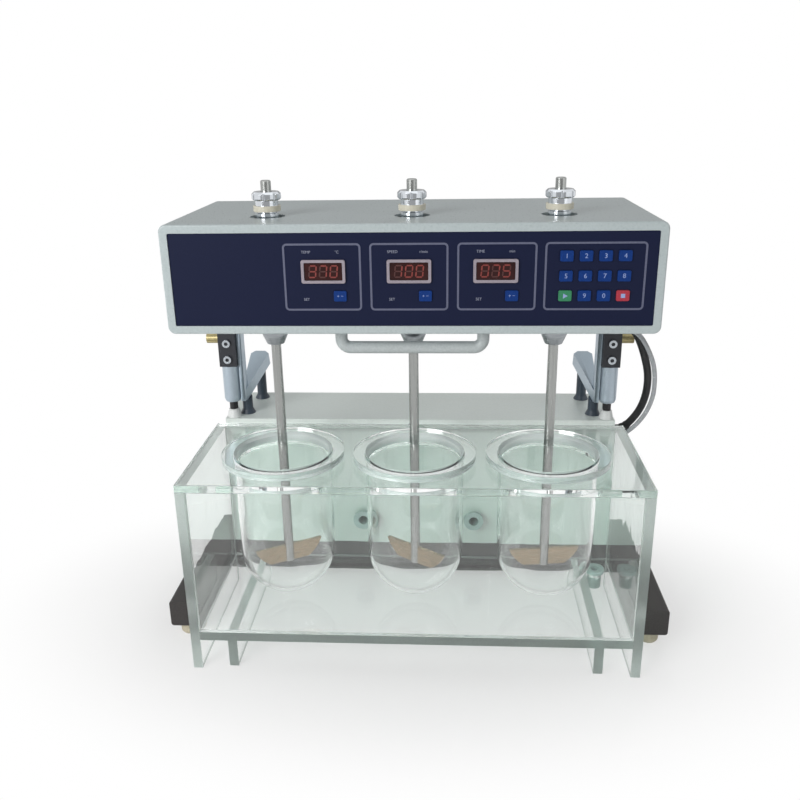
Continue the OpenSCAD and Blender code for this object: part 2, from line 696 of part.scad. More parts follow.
// Navy front panel held behind the frame by its flange
module front_panel() color("#1c2440") difference() {
    union() {
        translate([0, 0, panel_cz]) xz_block(panel_w, panel_h, panel_r, panel_face, panel_rear);
        translate([0, 0, panel_cz]) xz_block(panel_w + 8, panel_h + 7, 4, head_front + frame_t, panel_rear);
    }
    for (x = display_xs) translate([x, 0, window_z])
        xz_block(window_w, window_h, 1, panel_face - 1, panel_rear + 1);
    for (c = concat([for (i = [0:11]) key_at(i)], button_at)) translate([c[0], 0, c[1]])
        xz_block(key_w + 2 * key_gap, key_h + 2 * key_gap, 1.5 + key_gap, panel_face - 1, panel_rear + 1);
}

// Raised frames round the three displays
module display_bezels() color("#b9b2b6") for (x = display_xs) translate([x, 0, window_z]) difference() {
    xz_block(window_w + 2 * bezel_w, window_h + 2 * bezel_w, 2, panel_face - bezel_t, panel_face);
    xz_block(window_w, window_h, 1, panel_face - bezel_t - 1, panel_face + 1);
}

// Dark red windows of the three displays
module display_windows() color("#3a0d10") for (x = display_xs) translate([x, 0, window_z])
    xz_block(window_w, window_h, 1, panel_face - bezel_t / 2, panel_rear + 1);

// Circuit board behind the panel on standoffs
module main_board() color("#2f6b45") {
    box([-panel_w / 2 + 30, board_y, panel_cz - panel_h / 2 + 4],
        [panel_w / 2 - 14, board_y + board_t, panel_cz + panel_h / 2 - 4]);
    for (x = [-panel_w / 2 + 38, -38, 38, panel_w / 2 - 22], s = [-1, 1])
        y_rod(5, x, panel_cz + s * (panel_h / 2 - 8), panel_rear, board_y);
}

// Round bar handle under the head's front
module handle() color("#c3c8ca") translate([0, shaft_y - handle_fwd, 0]) {
    bar_z = head_z - handle_drop;
    x_rod(handle_d, 0, bar_z, -handle_x + handle_r, handle_x - handle_r);
    both() {
        translate([handle_x, 0, bar_z + handle_r]) cylinder(d = handle_d, h = plate_z0 - bar_z - handle_r);
        translate([handle_x - handle_r, 0, bar_z + handle_r]) rotate([90, 90, 0])
            rotate_extrude(angle = 90) translate([handle_r, 0]) circle(d = handle_d);
    }
}

// Turned bushings that carry the spindles, flanged on the base plate
module spindle_bushings() color("#a9adb0") for (x = spindle_xs) translate([x, shaft_y, 0]) {
    rb = spindle_d / 2 + run_gap;
    rotate_extrude() polygon([[rb, head_z - bushing_drop], [bushing_nose_d / 2, head_z - bushing_drop],
        [bushing_d / 2, head_z - bushing_drop + 11], [bushing_d / 2, plate_z1],
        [bushing_d / 2 + 7, plate_z1], [bushing_d / 2 + 7, plate_z1 + 5], [bushing_d / 2 - 1, plate_z1 + 5],
        [bushing_d / 2 - 1, thrust_z], [rb, thrust_z]]);
}

// Half profile of a flanged belt pulley of inner radius r0
function pulley_profile(r0) = [[r0, pulley_z], [pulley_d / 2 + belt_t, pulley_z],
    [pulley_d / 2 + belt_t, belt_z - 1], [pulley_d / 2, belt_z - 1],
    [pulley_d / 2, belt_z + belt_w + 1], [pulley_d / 2 + belt_t, belt_z + belt_w + 1],
    [pulley_d / 2 + belt_t, pulley_top], [r0, pulley_top]];

// Hollow spindle: journal, pulley, and the chuck body above the head
module spindle(i) color("#c9cdd0") translate([spindle_xs[i], shaft_y, 0]) rotate_extrude() {
    rs = bore_d / 2;
    polygon([[rs, head_z - bushing_drop + 2], [spindle_d / 2, head_z - bushing_drop + 2],
        [spindle_d / 2, thrust_z + 0.1], [neck_d / 2, thrust_z + 0.1], [neck_d / 2, collar_z - 1.5],
        [neck_d / 2 - 2, collar_z - 1.5], [neck_d / 2 - 2, collar_z], [collar_d / 2 - 0.6, collar_z],
        [collar_d / 2, collar_z + 0.6], [collar_d / 2, neck_z - 0.6], [collar_d / 2 - 0.6, neck_z],
        [neck_d / 2, neck_z], [neck_d / 2, nut_z], [thread_d / 2, nut_z], [thread_d / 2, nut_top - 2],
        [rs, nut_top - 2]]);
    polygon(pulley_profile(neck_d / 2 - 1));
}
module spindle_left() spindle(0);
module spindle_mid() spindle(1);
module spindle_right() spindle(2);

// Grooved chuck nut that clamps the stirrer shaft
module chuck_nut(i) color("#d9dcde") translate([spindle_xs[i], shaft_y, 0]) difference() {
    rotate_extrude() polygon([[thread_d / 2 + run_gap, nut_z + 0.1], [nut_d / 2 - 1.5, nut_z + 0.1],
        [nut_d / 2, nut_z + 1.6], [nut_d / 2, nut_top - 2], [nut_d / 2 - 2, nut_top],
        [shaft_d / 2 + 0.5, nut_top], [shaft_d / 2 + 0.5, nut_top - 1.8],
        [thread_d / 2 + run_gap, nut_top - 1.8]]);
    for (k = [0:7]) rotate(45 * k) translate([nut_d / 2 + 0.5, 0, nut_z - 1]) cylinder(d = 3, h = nut_h + 2);
}
module chuck_nut_left() chuck_nut(0);
module chuck_nut_mid() chuck_nut(1);
module chuck_nut_right() chuck_nut(2);

// Stirrer: steel shaft with a flat paddle blade, turned by angle a
module stirrer(i, a) color("#c2c5c6") translate([spindle_xs[i], shaft_y, blade_z]) {
    cylinder(d = shaft_d, h = shaft_top - 1 - blade_z);
    translate([0, 0, shaft_top - 1 - blade_z]) cylinder(d1 = shaft_d, d2 = shaft_d - 2, h = 1);
    rotate(a) translate([0, blade_t / 2, 0]) rotate([90, 0, 0]) linear_extrude(blade_t) intersection() {
        translate([0, blade_c]) circle(r = blade_r);
        translate([-blade_r, 0]) square([2 * blade_r, blade_h]);
    }
}
module stirrer_left() stirrer(0, 30);
module stirrer_mid() stirrer(1, -35);
module stirrer_right() stirrer(2, 8);

// Upright drive motor on the base plate
module drive_motor() color("#55595f") translate([motor_x, shaft_y, plate_z1]) difference() {
    union() {
        cylinder(d = motor_d, h = pulley_z - 4 - plate_z1);
        translate([-motor_d / 2, -motor_d / 2, 0]) cube([motor_d, motor_d, 5]);
    }
    translate([0, 0, pulley_z - motor_shaft_l - 2 - plate_z1])
        cylinder(d = motor_shaft_d + 2 * run_gap, h = 30);
}

// Motor shaft with its belt pulley
module motor_pulley() color("#b9bcbf") translate([motor_x, shaft_y, 0]) {
    rotate_extrude() polygon(pulley_profile(3));
    translate([0, 0, pulley_z - motor_shaft_l]) cylinder(d = motor_shaft_d, h = motor_shaft_l + 1);
}

// Flat belt round the three spindle pulleys, driven by the motor pulley between them
module drive_belt() color("#1f1f21") {
    r = pulley_d / 2 + run_gap;
    translate([0, shaft_y, belt_z]) linear_extrude(belt_w) difference() {
        union() {
            square([2 * pitch, 2 * r + 2 * belt_t], center = true);
            for (s = [-1, 1]) translate([s * pitch, 0]) circle(r + belt_t);
        }
        union() {
            square([2 * pitch, 2 * r], center = true);
            for (s = [-1, 1]) translate([s * pitch, 0]) circle(r);
        }
    }
}

// Black slider blocks under the head, bored for the pillars
module slider_blocks() color("#26282e") both() difference() {
    box([block_in, pillar_y - block_d / 2, block_z], [block_in + block_w, pillar_y + block_d / 2, plate_z0]);
    translate([pillar_x, pillar_y, block_z - 1]) cylinder(d = pillar_d + 2 * run_gap, h = block_drop + 10);
    x_rod(5 + 2 * run_gap, pillar_y, knob_z, pillar_x, block_in + block_w + 1);
}

// Two hex-socket screws on the front of each slider block
module block_screws() color("#8b8f96") both()
    for (z = [block_z + block_screw_up, block_z + block_screw_up + block_screw_gap])
        translate([0, pillar_y - block_d / 2, 0]) difference() {
            y_rod(block_screw_d, pillar_x, z, -block_screw_h, 0);
            translate([pillar_x, -block_screw_h / 2, z]) rotate([90, 0, 0])
                cylinder(d = block_screw_d - 4.4, h = block_screw_h, $fn = 6);
        }

// Rubber grommets of the cable and the tube in the base plate
module head_grommets() color("#202024") {
    for (g = [[cable_d, cable_in], [tube_d, tube_in]]) translate([g[1][0], g[1][1], 0]) rotate_extrude()
        polygon([[0, g[1][2]], [g[0] / 2 + 4.5, g[1][2]], [g[0] / 2 + 4.5, plate_z0], [g[0] / 2 + 2, plate_z0],
            [g[0] / 2 + 2, plate_z1 + 3], [0, plate_z1 + 3]]);
}

// Brass lock knob on its stem in the slider block; side is -1 or 1
module lock_knob(side) color("#b39a5a") mirror([side < 0 ? 1 : 0, 0, 0]) difference() {
    union() {
        x_rod(5, pillar_y, knob_z, pillar_x + pillar_d / 2 + 0.5, block_in + block_w + 1);
        x_rod(knob_d, pillar_y, knob_z, block_in + block_w + 0.3, block_in + block_w + 0.3 + knob_l);
    }
    for (k = [0:11]) translate([0, pillar_y, knob_z]) rotate([30 * k, 0, 0])
        x_rod(1.4, knob_d / 2 + 0.2, 0, block_in + block_w + 2.3, block_in + block_w + knob_l + 2);
}
module lock_knob_left() lock_knob(-1);
module lock_knob_right() lock_knob(1);

// Black signal cable between the head and the cabinet
module signal_cable() color("#18181a") cord(cable_pts, cable_d, 12);

// Grey tube beside the cable
module grey_tube() color("#a7a9ab") cord(tube_pts, tube_d, 10);

// Key cap with its rear flange at c = [X, Z]
module key_cap(c) translate([c[0], 0, c[1]]) {
    xz_block(key_w, key_h, 1.5, panel_face - key_out, panel_rear + 1);
    xz_block(key_w + 2 * (key_gap + key_lip), key_h + 2 * (key_gap + key_lip), 1.5, panel_rear, panel_rear + 1);
}
module button_left() color("#3f62b5") key_cap(button_at[0]);
module button_mid() color("#3f62b5") key_cap(button_at[1]);
module button_right() color("#3f62b5") key_cap(button_at[2]);
module key_1() color("#3f62b5") key_cap(key_at(0));
module key_2() color("#3f62b5") key_cap(key_at(1));
module key_3() color("#3f62b5") key_cap(key_at(2));
module key_4() color("#3f62b5") key_cap(key_at(3));
module key_5() color("#3f62b5") key_cap(key_at(4));
module key_6() color("#3f62b5") key_cap(key_at(5));
module key_7() color("#3f62b5") key_cap(key_at(6));
module key_8() color("#3f62b5") key_cap(key_at(7));
module key_start() color("#2f9a63") key_cap(key_at(8));
module key_9() color("#3f62b5") key_cap(key_at(9));
module key_0() color("#3f62b5") key_cap(key_at(10));
module key_stop() color("#b23a3a") key_cap(key_at(11));

base_frame();
feet();
cabinet_shell();
cabinet_back();
case_screws();
power_inlet();
power_switch();
circulation_pump();
water_heater();
bath_tank();
bath_ports();
bath_lid();
vessels();
guide_brackets();
guide_posts();
lift_pillars();
pillar_mounts();
cabinet_glands();
head_shell();
head_base();
front_panel();
display_bezels();
display_windows();
main_board();
handle();
spindle_bushings();
drive_motor();
motor_pulley();
drive_belt();
slider_blocks();
block_screws();
head_grommets();
lock_knob_left();
lock_knob_right();
spindle_left();
spindle_mid();
spindle_right();
chuck_nut_left();
chuck_nut_mid();
chuck_nut_right();
stirrer_left();
stirrer_mid();
stirrer_right();
signal_cable();
grey_tube();
button_left();
button_mid();
button_right();
key_1();
key_2();
key_3();
key_4();
key_5();
key_6();
key_7();
key_8();
key_9();
key_0();
key_start();
key_stop();
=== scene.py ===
"""Three-vessel dissolution tester: a lifting drive head above a clear water bath."""
import math
import bmesh
import bpy
from mathutils import Matrix, Vector


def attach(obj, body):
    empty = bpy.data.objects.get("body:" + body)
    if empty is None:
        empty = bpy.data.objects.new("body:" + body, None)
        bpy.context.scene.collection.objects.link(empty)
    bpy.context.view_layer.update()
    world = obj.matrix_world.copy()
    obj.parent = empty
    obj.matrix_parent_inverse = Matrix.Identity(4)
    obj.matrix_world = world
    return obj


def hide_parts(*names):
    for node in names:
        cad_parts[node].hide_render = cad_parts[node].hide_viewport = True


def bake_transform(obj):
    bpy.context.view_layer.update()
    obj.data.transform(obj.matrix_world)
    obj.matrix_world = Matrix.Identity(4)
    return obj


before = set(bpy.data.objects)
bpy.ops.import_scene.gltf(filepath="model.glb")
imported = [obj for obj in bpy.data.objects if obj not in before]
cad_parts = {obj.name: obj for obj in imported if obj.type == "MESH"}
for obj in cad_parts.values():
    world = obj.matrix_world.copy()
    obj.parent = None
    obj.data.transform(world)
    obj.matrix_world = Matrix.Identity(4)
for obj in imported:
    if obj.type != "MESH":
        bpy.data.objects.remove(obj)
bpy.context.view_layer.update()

# Studio: white paper under the instrument, a white room, four soft boxes and two grey cards.
# The paper keeps the shadow close to the instrument and runs out to plain white further off.
# The cards stand before and behind, where only gloss mirrors them, so steel and glass keep their shape.
scene = bpy.context.scene
scene.view_settings.view_transform = "Standard"
scene.cycles.max_bounces = 40
scene.cycles.transmission_bounces = 40
scene.cycles.glossy_bounces = 32
scene.cycles.transparent_max_bounces = 32


def lin(code):
    """Linear RGBA of an sRGB hex colour."""
    parts = [int(code[i:i + 2], 16) / 255 for i in (1, 3, 5)]
    return tuple(c / 12.92 if c <= 0.04045 else ((c + 0.055) / 1.055) ** 2.4 for c in parts) + (1.0,)


def add(tree, kind, sockets=None, **settings):
    """A node with its settings; a socket takes a value, or another node's output as a link."""
    node = tree.nodes.new(kind)
    for name, value in settings.items():
        setattr(node, name, value)
    for key, value in (sockets or {}).items():
        if isinstance(value, bpy.types.NodeSocket):
            tree.links.new(value, node.inputs[key])
        else:
            node.inputs[key].default_value = value
    return node


def rays_that_see(tree):
    """One for camera, glossy and transmission rays, which show the white background."""
    ray = add(tree, "ShaderNodeLightPath")
    some = add(tree, "ShaderNodeMath", {0: ray.outputs["Is Camera Ray"], 1: ray.outputs["Is Glossy Ray"]},
               operation="MAXIMUM")
    return add(tree, "ShaderNodeMath", {0: some.outputs[0], 1: ray.outputs["Is Transmission Ray"]},
               operation="MAXIMUM").outputs[0]


room = bpy.data.worlds.new("white_room")
room.use_nodes = True
room.node_tree.nodes.clear()
room_fill, room_white = 0.26, 1.0
room_level = add(room.node_tree, "ShaderNodeMapRange",
                 {"Value": rays_that_see(room.node_tree), "To Min": room_fill, "To Max": room_white})
room_light = add(room.node_tree, "ShaderNodeBackground",
                 {"Color": (1.0, 1.0, 1.0, 1.0), "Strength": room_level.outputs["Result"]})
add(room.node_tree, "ShaderNodeOutputWorld", {"Surface": room_light.outputs[0]})
scene.world = room

# Matt white paper, which takes a soft shadow and has no gloss of its own.
paper = bpy.data.materials.new("matt_white_paper")
paper.use_nodes = True
tree = paper.node_tree
tree.nodes.clear()
spot = add(tree, "ShaderNodeTexCoord")
oval = add(tree, "ShaderNodeMapping", {"Vector": spot.outputs["Object"], "Scale": (0.6, 1.0, 1.0)})
reach = add(tree, "ShaderNodeVectorMath", {0: oval.outputs["Vector"]}, operation="LENGTH")
shadow_reach, white_reach, least_white = 0.12, 0.33, 0.45
fade = add(tree, "ShaderNodeMapRange",
           {"Value": reach.outputs["Value"], "From Min": shadow_reach, "From Max": white_reach,
            "To Min": least_white}, interpolation_type="SMOOTHSTEP")
shown = add(tree, "ShaderNodeMath", {0: fade.outputs["Result"], 1: rays_that_see(tree)},
            operation="MULTIPLY")
sheet = add(tree, "ShaderNodeBsdfDiffuse", {"Color": lin("#f4f4f3")})
white = add(tree, "ShaderNodeEmission", {"Color": (1.0, 1.0, 1.0, 1.0), "Strength": 1.0})
mixed = add(tree, "ShaderNodeMixShader", {0: shown.outputs[0], 1: sheet.outputs[0], 2: white.outputs[0]})
add(tree, "ShaderNodeOutputMaterial", {"Surface": mixed.outputs[0]})

half, floor_z = 4.0, -0.0002
floor_mesh = bpy.data.meshes.new("floor")
corners = [(-half, -half, floor_z), (half, -half, floor_z), (half, half, floor_z), (-half, half, floor_z)]
floor_mesh.from_pydata(corners, [], [(0, 1, 2, 3)])
floor_mesh.materials.append(paper)
floor = bpy.data.objects.new("floor", floor_mesh)
scene.collection.objects.link(floor)

# Grey card: an even half tone.
card_grey = bpy.data.materials.new("grey_card")
card_grey.use_nodes = True
card_grey.node_tree.nodes.clear()
half_tone = 0.45
card_tone = add(card_grey.node_tree, "ShaderNodeEmission",
                {"Color": (1.0, 1.0, 1.0, 1.0), "Strength": half_tone})
add(card_grey.node_tree, "ShaderNodeOutputMaterial", {"Surface": card_tone.outputs[0]})
half, high = 1.7, 1.9
for name, y in (("front_card", -2.2), ("rear_card", 2.2)):
    card_mesh = bpy.data.meshes.new(name)
    corners = [(-half, y, 0.0), (half, y, 0.0), (half, y, high), (-half, y, high)]
    card_mesh.from_pydata(corners, [], [(0, 1, 2, 3)])
    card_mesh.materials.append(card_grey)
    card = bpy.data.objects.new(name, card_mesh)
    card.visible_camera = False
    card.visible_diffuse = False
    card.visible_transmission = False
    card.visible_shadow = False
    scene.collection.objects.link(card)

for name, at, aim, size, watts in (
        ("key_box", (-1.15, -1.5, 0.95), (0.0, -0.05, 0.3), 1.0, 24.0),
        ("fill_box", (1.35, -1.0, 0.85), (0.0, 0.0, 0.25), 1.0, 3.5),
        ("rear_box", (0.5, 1.8, 0.75), (0.0, 0.1, 0.25), 1.0, 14.0),
        ("top_box", (-0.1, 0.25, 1.75), (0.0, 0.0, 0.3), 1.2, 1.5)):
    light = bpy.data.lights.new(name, "AREA")
    light.size = size
    light.energy = watts
    lamp = bpy.data.objects.new(name, light)
    lamp.location = at
    lamp.rotation_euler = (Vector(aim) - Vector(at)).to_track_quat("-Z", "Y").to_euler()
    lamp.visible_glossy = lamp.visible_transmission = name != "rear_box"
    scene.collection.objects.link(lamp)

# The camera stands a little right of the middle and looks down at the instrument by about 20 degrees.
yaw, pitch, roll = (math.radians(a) for a in (3.5, 19.6, -0.92))
eye = (0.03568, -0.87934, 0.57232)
ahead = Vector((-math.sin(yaw) * math.cos(pitch), math.cos(yaw) * math.cos(pitch), -math.sin(pitch)))
right = Vector((math.cos(yaw), math.sin(yaw), 0.0))
up = right.cross(ahead)
camera = bpy.data.objects.new("camera", bpy.data.cameras.new("camera"))
camera.data.sensor_width = 36.0
camera.data.lens = 37.94
turn = Matrix((math.cos(roll) * right + math.sin(roll) * up,
               math.cos(roll) * up - math.sin(roll) * right, -ahead)).transposed().to_4x4()
turn.translation = eye
camera.matrix_world = turn
scene.collection.objects.link(camera)
scene.camera = camera


# Base frame: two square bars beside the bath and a plinth under the cabinet, welded from steel tube.
# Black powder coat, with its fine orange peel; the bars' edges are rounded by the tube's own radius.
def finish_of(name, tones, grain, rough, relief=0.0, stretch=(1, 1, 1), shader=None):
    """Material whose tone, gloss and relief follow one noise; grain and relief are in mm."""
    material = bpy.data.materials.new(name)
    material.use_nodes = True
    tree = material.node_tree
    tree.nodes.clear()
    place = add(tree, "ShaderNodeTexCoord")
    along = add(tree, "ShaderNodeMapping", {"Vector": place.outputs["Object"], "Scale": stretch})
    noise = add(tree, "ShaderNodeTexNoise", {"Vector": along.outputs["Vector"], "Scale": 1000 / grain,
                                             "Detail": 4.0, "Roughness": 0.6})
    tone = add(tree, "ShaderNodeValToRGB", {"Fac": noise.outputs["Fac"]})
    for stop, position, code in zip(tone.color_ramp.elements, (0.35, 0.65), tones):
        stop.position = position
        stop.color = lin(code)
    gloss = add(tree, "ShaderNodeMapRange", {"Value": noise.outputs["Fac"], "From Min": 0.3, "From Max": 0.7,
                                             "To Min": rough[0], "To Max": rough[1]})
    body = add(tree, "ShaderNodeBsdfPrincipled", {"Base Color": tone.outputs["Color"],
                                                  "Roughness": gloss.outputs["Result"], **(shader or {})})
    if relief:
        bump = add(tree, "ShaderNodeBump", {"Height": noise.outputs["Fac"], "Distance": relief / 1000})
        tree.links.new(bump.outputs["Normal"], body.inputs["Normal"])
    add(tree, "ShaderNodeOutputMaterial", {"Surface": body.outputs["BSDF"]})
    return material


def rounded(mesh, width, parts=2, sharp=35, only=None):
    """Round a mesh's sharp edges by width mm; only picks edges by their middle, in mm."""
    edges = [e for e in mesh.edges if len(e.link_faces) == 2 and e.calc_face_angle() > math.radians(sharp)]
    if only:
        edges = [e for e in edges if only((e.verts[0].co + e.verts[1].co) * 500)]
    bmesh.ops.bevel(mesh, geom=edges, offset=width / 1000, offset_type="OFFSET", segments=parts,
                    profile=0.5, affect="EDGES", clamp_overlap=True)
    return mesh


def copied(node):
    """A merged copy of a node's solid, with its flat faces joined again."""
    mesh = bmesh.new()
    mesh.from_mesh(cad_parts[node].data)
    bmesh.ops.remove_doubles(mesh, verts=mesh.verts, dist=2e-6)
    bmesh.ops.dissolve_limit(mesh, angle_limit=math.radians(0.3), verts=mesh.verts, edges=mesh.edges)
    return mesh


def piece(name, mesh, finish, body, slot, *nodes):
    """Make a mesh a piece that rides on a body and stands for the given nodes."""
    data = mesh
    if isinstance(mesh, bmesh.types.BMesh):
        for face in mesh.faces:
            face.smooth = True
        data = bpy.data.meshes.new(name)
        mesh.to_mesh(data)
        mesh.free()
        data.set_sharp_from_angle(angle=math.radians(38))
    data.name = name
    if finish:
        data.materials.clear()
        data.materials.append(finish)
    item = bpy.data.objects.new(name, data)
    scene.collection.objects.link(item)
    item.modifiers.new("even_shading", "WEIGHTED_NORMAL").keep_sharp = True
    if body:
        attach(item, body)
    if nodes:
        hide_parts(*nodes)
    return item


def second_finish(item, finish, chosen):
    """Give another finish to the faces that a test chooses by their middle in mm and their normal."""
    item.data.materials.append(finish)
    for face in item.data.polygons:
        face.material_index = int(chosen(face.center * 1000, face.normal))


# Powder coat: nearly black with a brown cast, dull, with a pebbled skin.
black_coat = finish_of("black_powder_coat", ("#2e2b2a", "#3b3736"), 1.6, (0.42, 0.58), 0.05)
piece("base_frame_coated", rounded(copied("base_frame"), 1.2), black_coat, "cabinet", "black_paint",
      "base_frame")


# Feet: four turned rubber feet under the ends of the bars, each held by a screw from below.
# Beige moulded rubber.
def turned(profile, at=(0, 0, 0), axis="z", steps=64):
    """Solid turned from a closed outline of (radius, height) pairs in mm about an axis through at."""
    mesh = bmesh.new()
    rings = []
    for radius, height in profile:
        ring = []
        for k in range(steps if radius > 1e-6 else 1):
            a = 2 * math.pi * k / steps
            c, s = radius * math.cos(a), radius * math.sin(a)
            spot = {"z": (c, s, height), "y": (c, height, s), "x": (height, c, s)}[axis]
            ring.append(mesh.verts.new((Vector(spot) + Vector(at)) / 1000))
        rings.append(ring)
    for low, high in zip(rings, rings[1:] + rings[:1]):
        if len(low) == 1 and len(high) == 1:
            continue
        for k in range(steps):
            n = (k + 1) % steps
            corners = [low[k % len(low)], low[n % len(low)], high[n % len(high)], high[k % len(high)]]
            mesh.faces.new(list(dict.fromkeys(corners)))
    bmesh.ops.recalc_face_normals(mesh, faces=mesh.faces)
    return mesh


def set_out_tree():
    """Geometry Nodes tree that sets one form on every point, at a size and with a finish."""
    tree = bpy.data.node_groups.new("set_out", "GeometryNodeTree")
    for label, kind in (("Geometry", "Geometry"), ("Form", "Object"), ("Size", "Float"),
                        ("Finish", "Material")):
        tree.interface.new_socket(label, in_out="INPUT", socket_type="NodeSocket" + kind)
    tree.interface.new_socket("Geometry", in_out="OUTPUT", socket_type="NodeSocketGeometry")
    given = add(tree, "NodeGroupInput")
    form = add(tree, "GeometryNodeObjectInfo", {"Object": given.outputs["Form"]})
    spread = add(tree, "GeometryNodeInstanceOnPoints",
                 {"Points": given.outputs["Geometry"], "Instance": form.outputs["Geometry"],
                  "Scale": given.outputs["Size"]})
    real = add(tree, "GeometryNodeRealizeInstances", {"Geometry": spread.outputs["Instances"]})
    done = add(tree, "GeometryNodeSetMaterial",
               {"Geometry": real.outputs["Geometry"], "Material": given.outputs["Finish"]})
    add(tree, "NodeGroupOutput", {"Geometry": done.outputs["Geometry"]})
    return tree


set_out = set_out_tree()


def set_on(name, form, spots, finish, size=1.0):
    """One mesh with the form, made about the origin, standing on every spot given in mm."""
    for face in form.faces:
        face.smooth = True
    model = bpy.data.meshes.new(name + "_form")
    form.to_mesh(model)
    form.free()
    model.set_sharp_from_angle(angle=math.radians(38))
    pattern = bpy.data.objects.new(name + "_form", model)
    points = bpy.data.meshes.new(name + "_spots")
    points.from_pydata([Vector(s) / 1000 for s in spots], [], [])
    holder = bpy.data.objects.new(name + "_spots", points)
    scene.collection.objects.link(pattern)
    scene.collection.objects.link(holder)
    step = holder.modifiers.new("set_out", "NODES")
    step.node_group = set_out
    values = {"Form": pattern, "Size": size, "Finish": finish}
    for socket in set_out.interface.items_tree:
        if socket.in_out == "INPUT" and socket.name in values:
            step[socket.identifier] = values[socket.name]
    mesh = bpy.data.meshes.new_from_object(holder.evaluated_get(bpy.context.evaluated_depsgraph_get()))
    bpy.data.objects.remove(holder)
    bpy.data.objects.remove(pattern)
    return mesh


# Moulded rubber: soft beige with a dull, slightly mottled skin.
foot_rubber = finish_of("beige_rubber", ("#b9b09a", "#c8c0aa"), 3.0, (0.6, 0.75), 0.06)
foot = rounded(turned([(0, 0), (8.6, 0), (11, 3), (11, 12.5), (9.8, 13.6), (9.8, 16), (0, 16)]), 0.8)
foot_spots = [(x, y, 0) for x in (-259, 259) for y in (-66, 115)]
piece("rubber_feet", set_on("foot", foot, foot_spots, foot_rubber), None, "cabinet", "foot_rubber", "feet")

# Cabinet: folded steel sheet that holds the pump and the heater, screwed to the plinth.
# Pale grey baked enamel with a slight orange peel.
cabinet_enamel = finish_of("pale_grey_enamel", ("#e0e8e3", "#e6ede9"), 2.2, (0.3, 0.4), 0.03)
piece("cabinet_enamelled", rounded(copied("cabinet_shell"), 0.9), cabinet_enamel, "cabinet",
      "cabinet_paint", "cabinet_shell")

# Rear panel: flat steel sheet that closes the cabinet, with two columns of pressed louvres for air.
# Same enamel as the cabinet; six zinc-plated cross-head screws hold it.
piece("rear_panel_enamelled", rounded(copied("cabinet_back"), 0.5), cabinet_enamel, "cabinet",
      "cabinet_paint", "cabinet_back")


def louvre(length, height, depth):
    """Half-drop louvre pressed out of sheet, its opening downwards; sizes in mm."""
    mesh = bmesh.new()
    rings = []
    for i in range(17):
        t = -1 + 2 * i / 16
        swell = math.sqrt(max(0.0, 1 - t ** 6))
        ring = []
        for k in range(9):
            a = math.pi / 2 * k / 8
            ring.append(mesh.verts.new((t * length / 2000, depth * swell * math.sin(a) / 1000,
                                        height * swell * (0.999 * math.cos(a) - 0.5) / 1000)))
        ring.append(mesh.verts.new((t * length / 2000, 0, 0)))
        rings.append(ring)
    for one, two in zip(rings, rings[1:]):
        for k in range(len(one)):
            n = (k + 1) % len(one)
            mesh.faces.new((one[k], one[n], two[n], two[k]))
    bmesh.ops.remove_doubles(mesh, verts=mesh.verts, dist=1e-7)
    bmesh.ops.recalc_face_normals(mesh, faces=mesh.faces)
    return mesh


rear_y, louvre_z, louvre_step = 133.0, 92, 9
louvre_spots = [(x, rear_y, louvre_z + louvre_step * i) for x in (60, 140) for i in range(10)]
piece("rear_louvres", set_on("louvre", louvre(62, 5, 1.7), louvre_spots, cabinet_enamel), None,
      "cabinet", "cabinet_paint")


def cut(mesh, cutter):
    """The mesh with the cutter's solid taken away."""
    both = []
    for part in (mesh, cutter):
        data = bpy.data.meshes.new("cutting")
        part.to_mesh(data)
        part.free()
        item = bpy.data.objects.new("cutting", data)
        scene.collection.objects.link(item)
        both.append(item)
    step = both[0].modifiers.new("cut", "BOOLEAN")
    step.operation, step.solver, step.object = "DIFFERENCE", "EXACT", both[1]
    data = bpy.data.meshes.new_from_object(both[0].evaluated_get(bpy.context.evaluated_depsgraph_get()))
    result = bmesh.new()
    result.from_mesh(data)
    for item in both:
        bpy.data.objects.remove(item)
    return result


def bar(low, high):
    """Box between two corners in mm."""
    mesh = bmesh.new()
    middle, size = (Vector(low) + Vector(high)) / 2000, (Vector(high) - Vector(low)) / 1000
    bmesh.ops.create_cube(mesh, size=1.0, matrix=Matrix.Translation(middle) @ Matrix.Diagonal((*size, 1.0)))
    return mesh


# Zinc plate: bright bluish steel with a faint cloudy passivation.
zinc = finish_of("zinc_plated_steel", ("#a9afb6", "#c0c6cb"), 2.0, (0.22, 0.36), shader={"Metallic": 1.0})
screw = turned([(0, 0), (3.5, 0), (3.45, 0.6), (3.1, 1.25), (2.4, 1.7), (1.4, 1.95), (0, 2)], axis="y",
               steps=32)
screw = cut(cut(screw, bar((-2, 1.0, -0.35), (2, 3, 0.35))), bar((-0.35, 1.0, -2), (0.35, 3, 2)))
screw_spots = [(x, rear_y, z) for x in (-217, 0, 217) for z in (73, 211)]
piece("rear_screws", set_on("screw", screw, screw_spots, zinc), None, "cabinet", "zinc_plate", "case_screws")

# Power inlet: moulded socket with three flat pins and a rocker switch beside it, clipped into the rear panel.
# Black glass-filled nylon with a fine spark-eroded texture; the pins are bright nickel.
nylon = finish_of("black_moulded_nylon", ("#17181a", "#1f2022"), 0.9, (0.42, 0.55), 0.03)
nickel = finish_of("nickel_plated_brass", ("#c9c4b8", "#d6d2c8"), 1.5, (0.15, 0.25), shader={"Metallic": 1.0})
inlet = piece("power_inlet_moulded", rounded(copied("power_inlet"), 0.35), nylon, "cabinet", "black_plastic",
              "power_inlet")
pin_xs, inlet_z = (-158, -150, -142), 110
second_finish(inlet, nickel, lambda m, n: (min(abs(m.x - x) for x in pin_xs) < 1.3
                                           and abs(m.z - inlet_z) < 3.2 and 117.2 < m.y < 130.5))

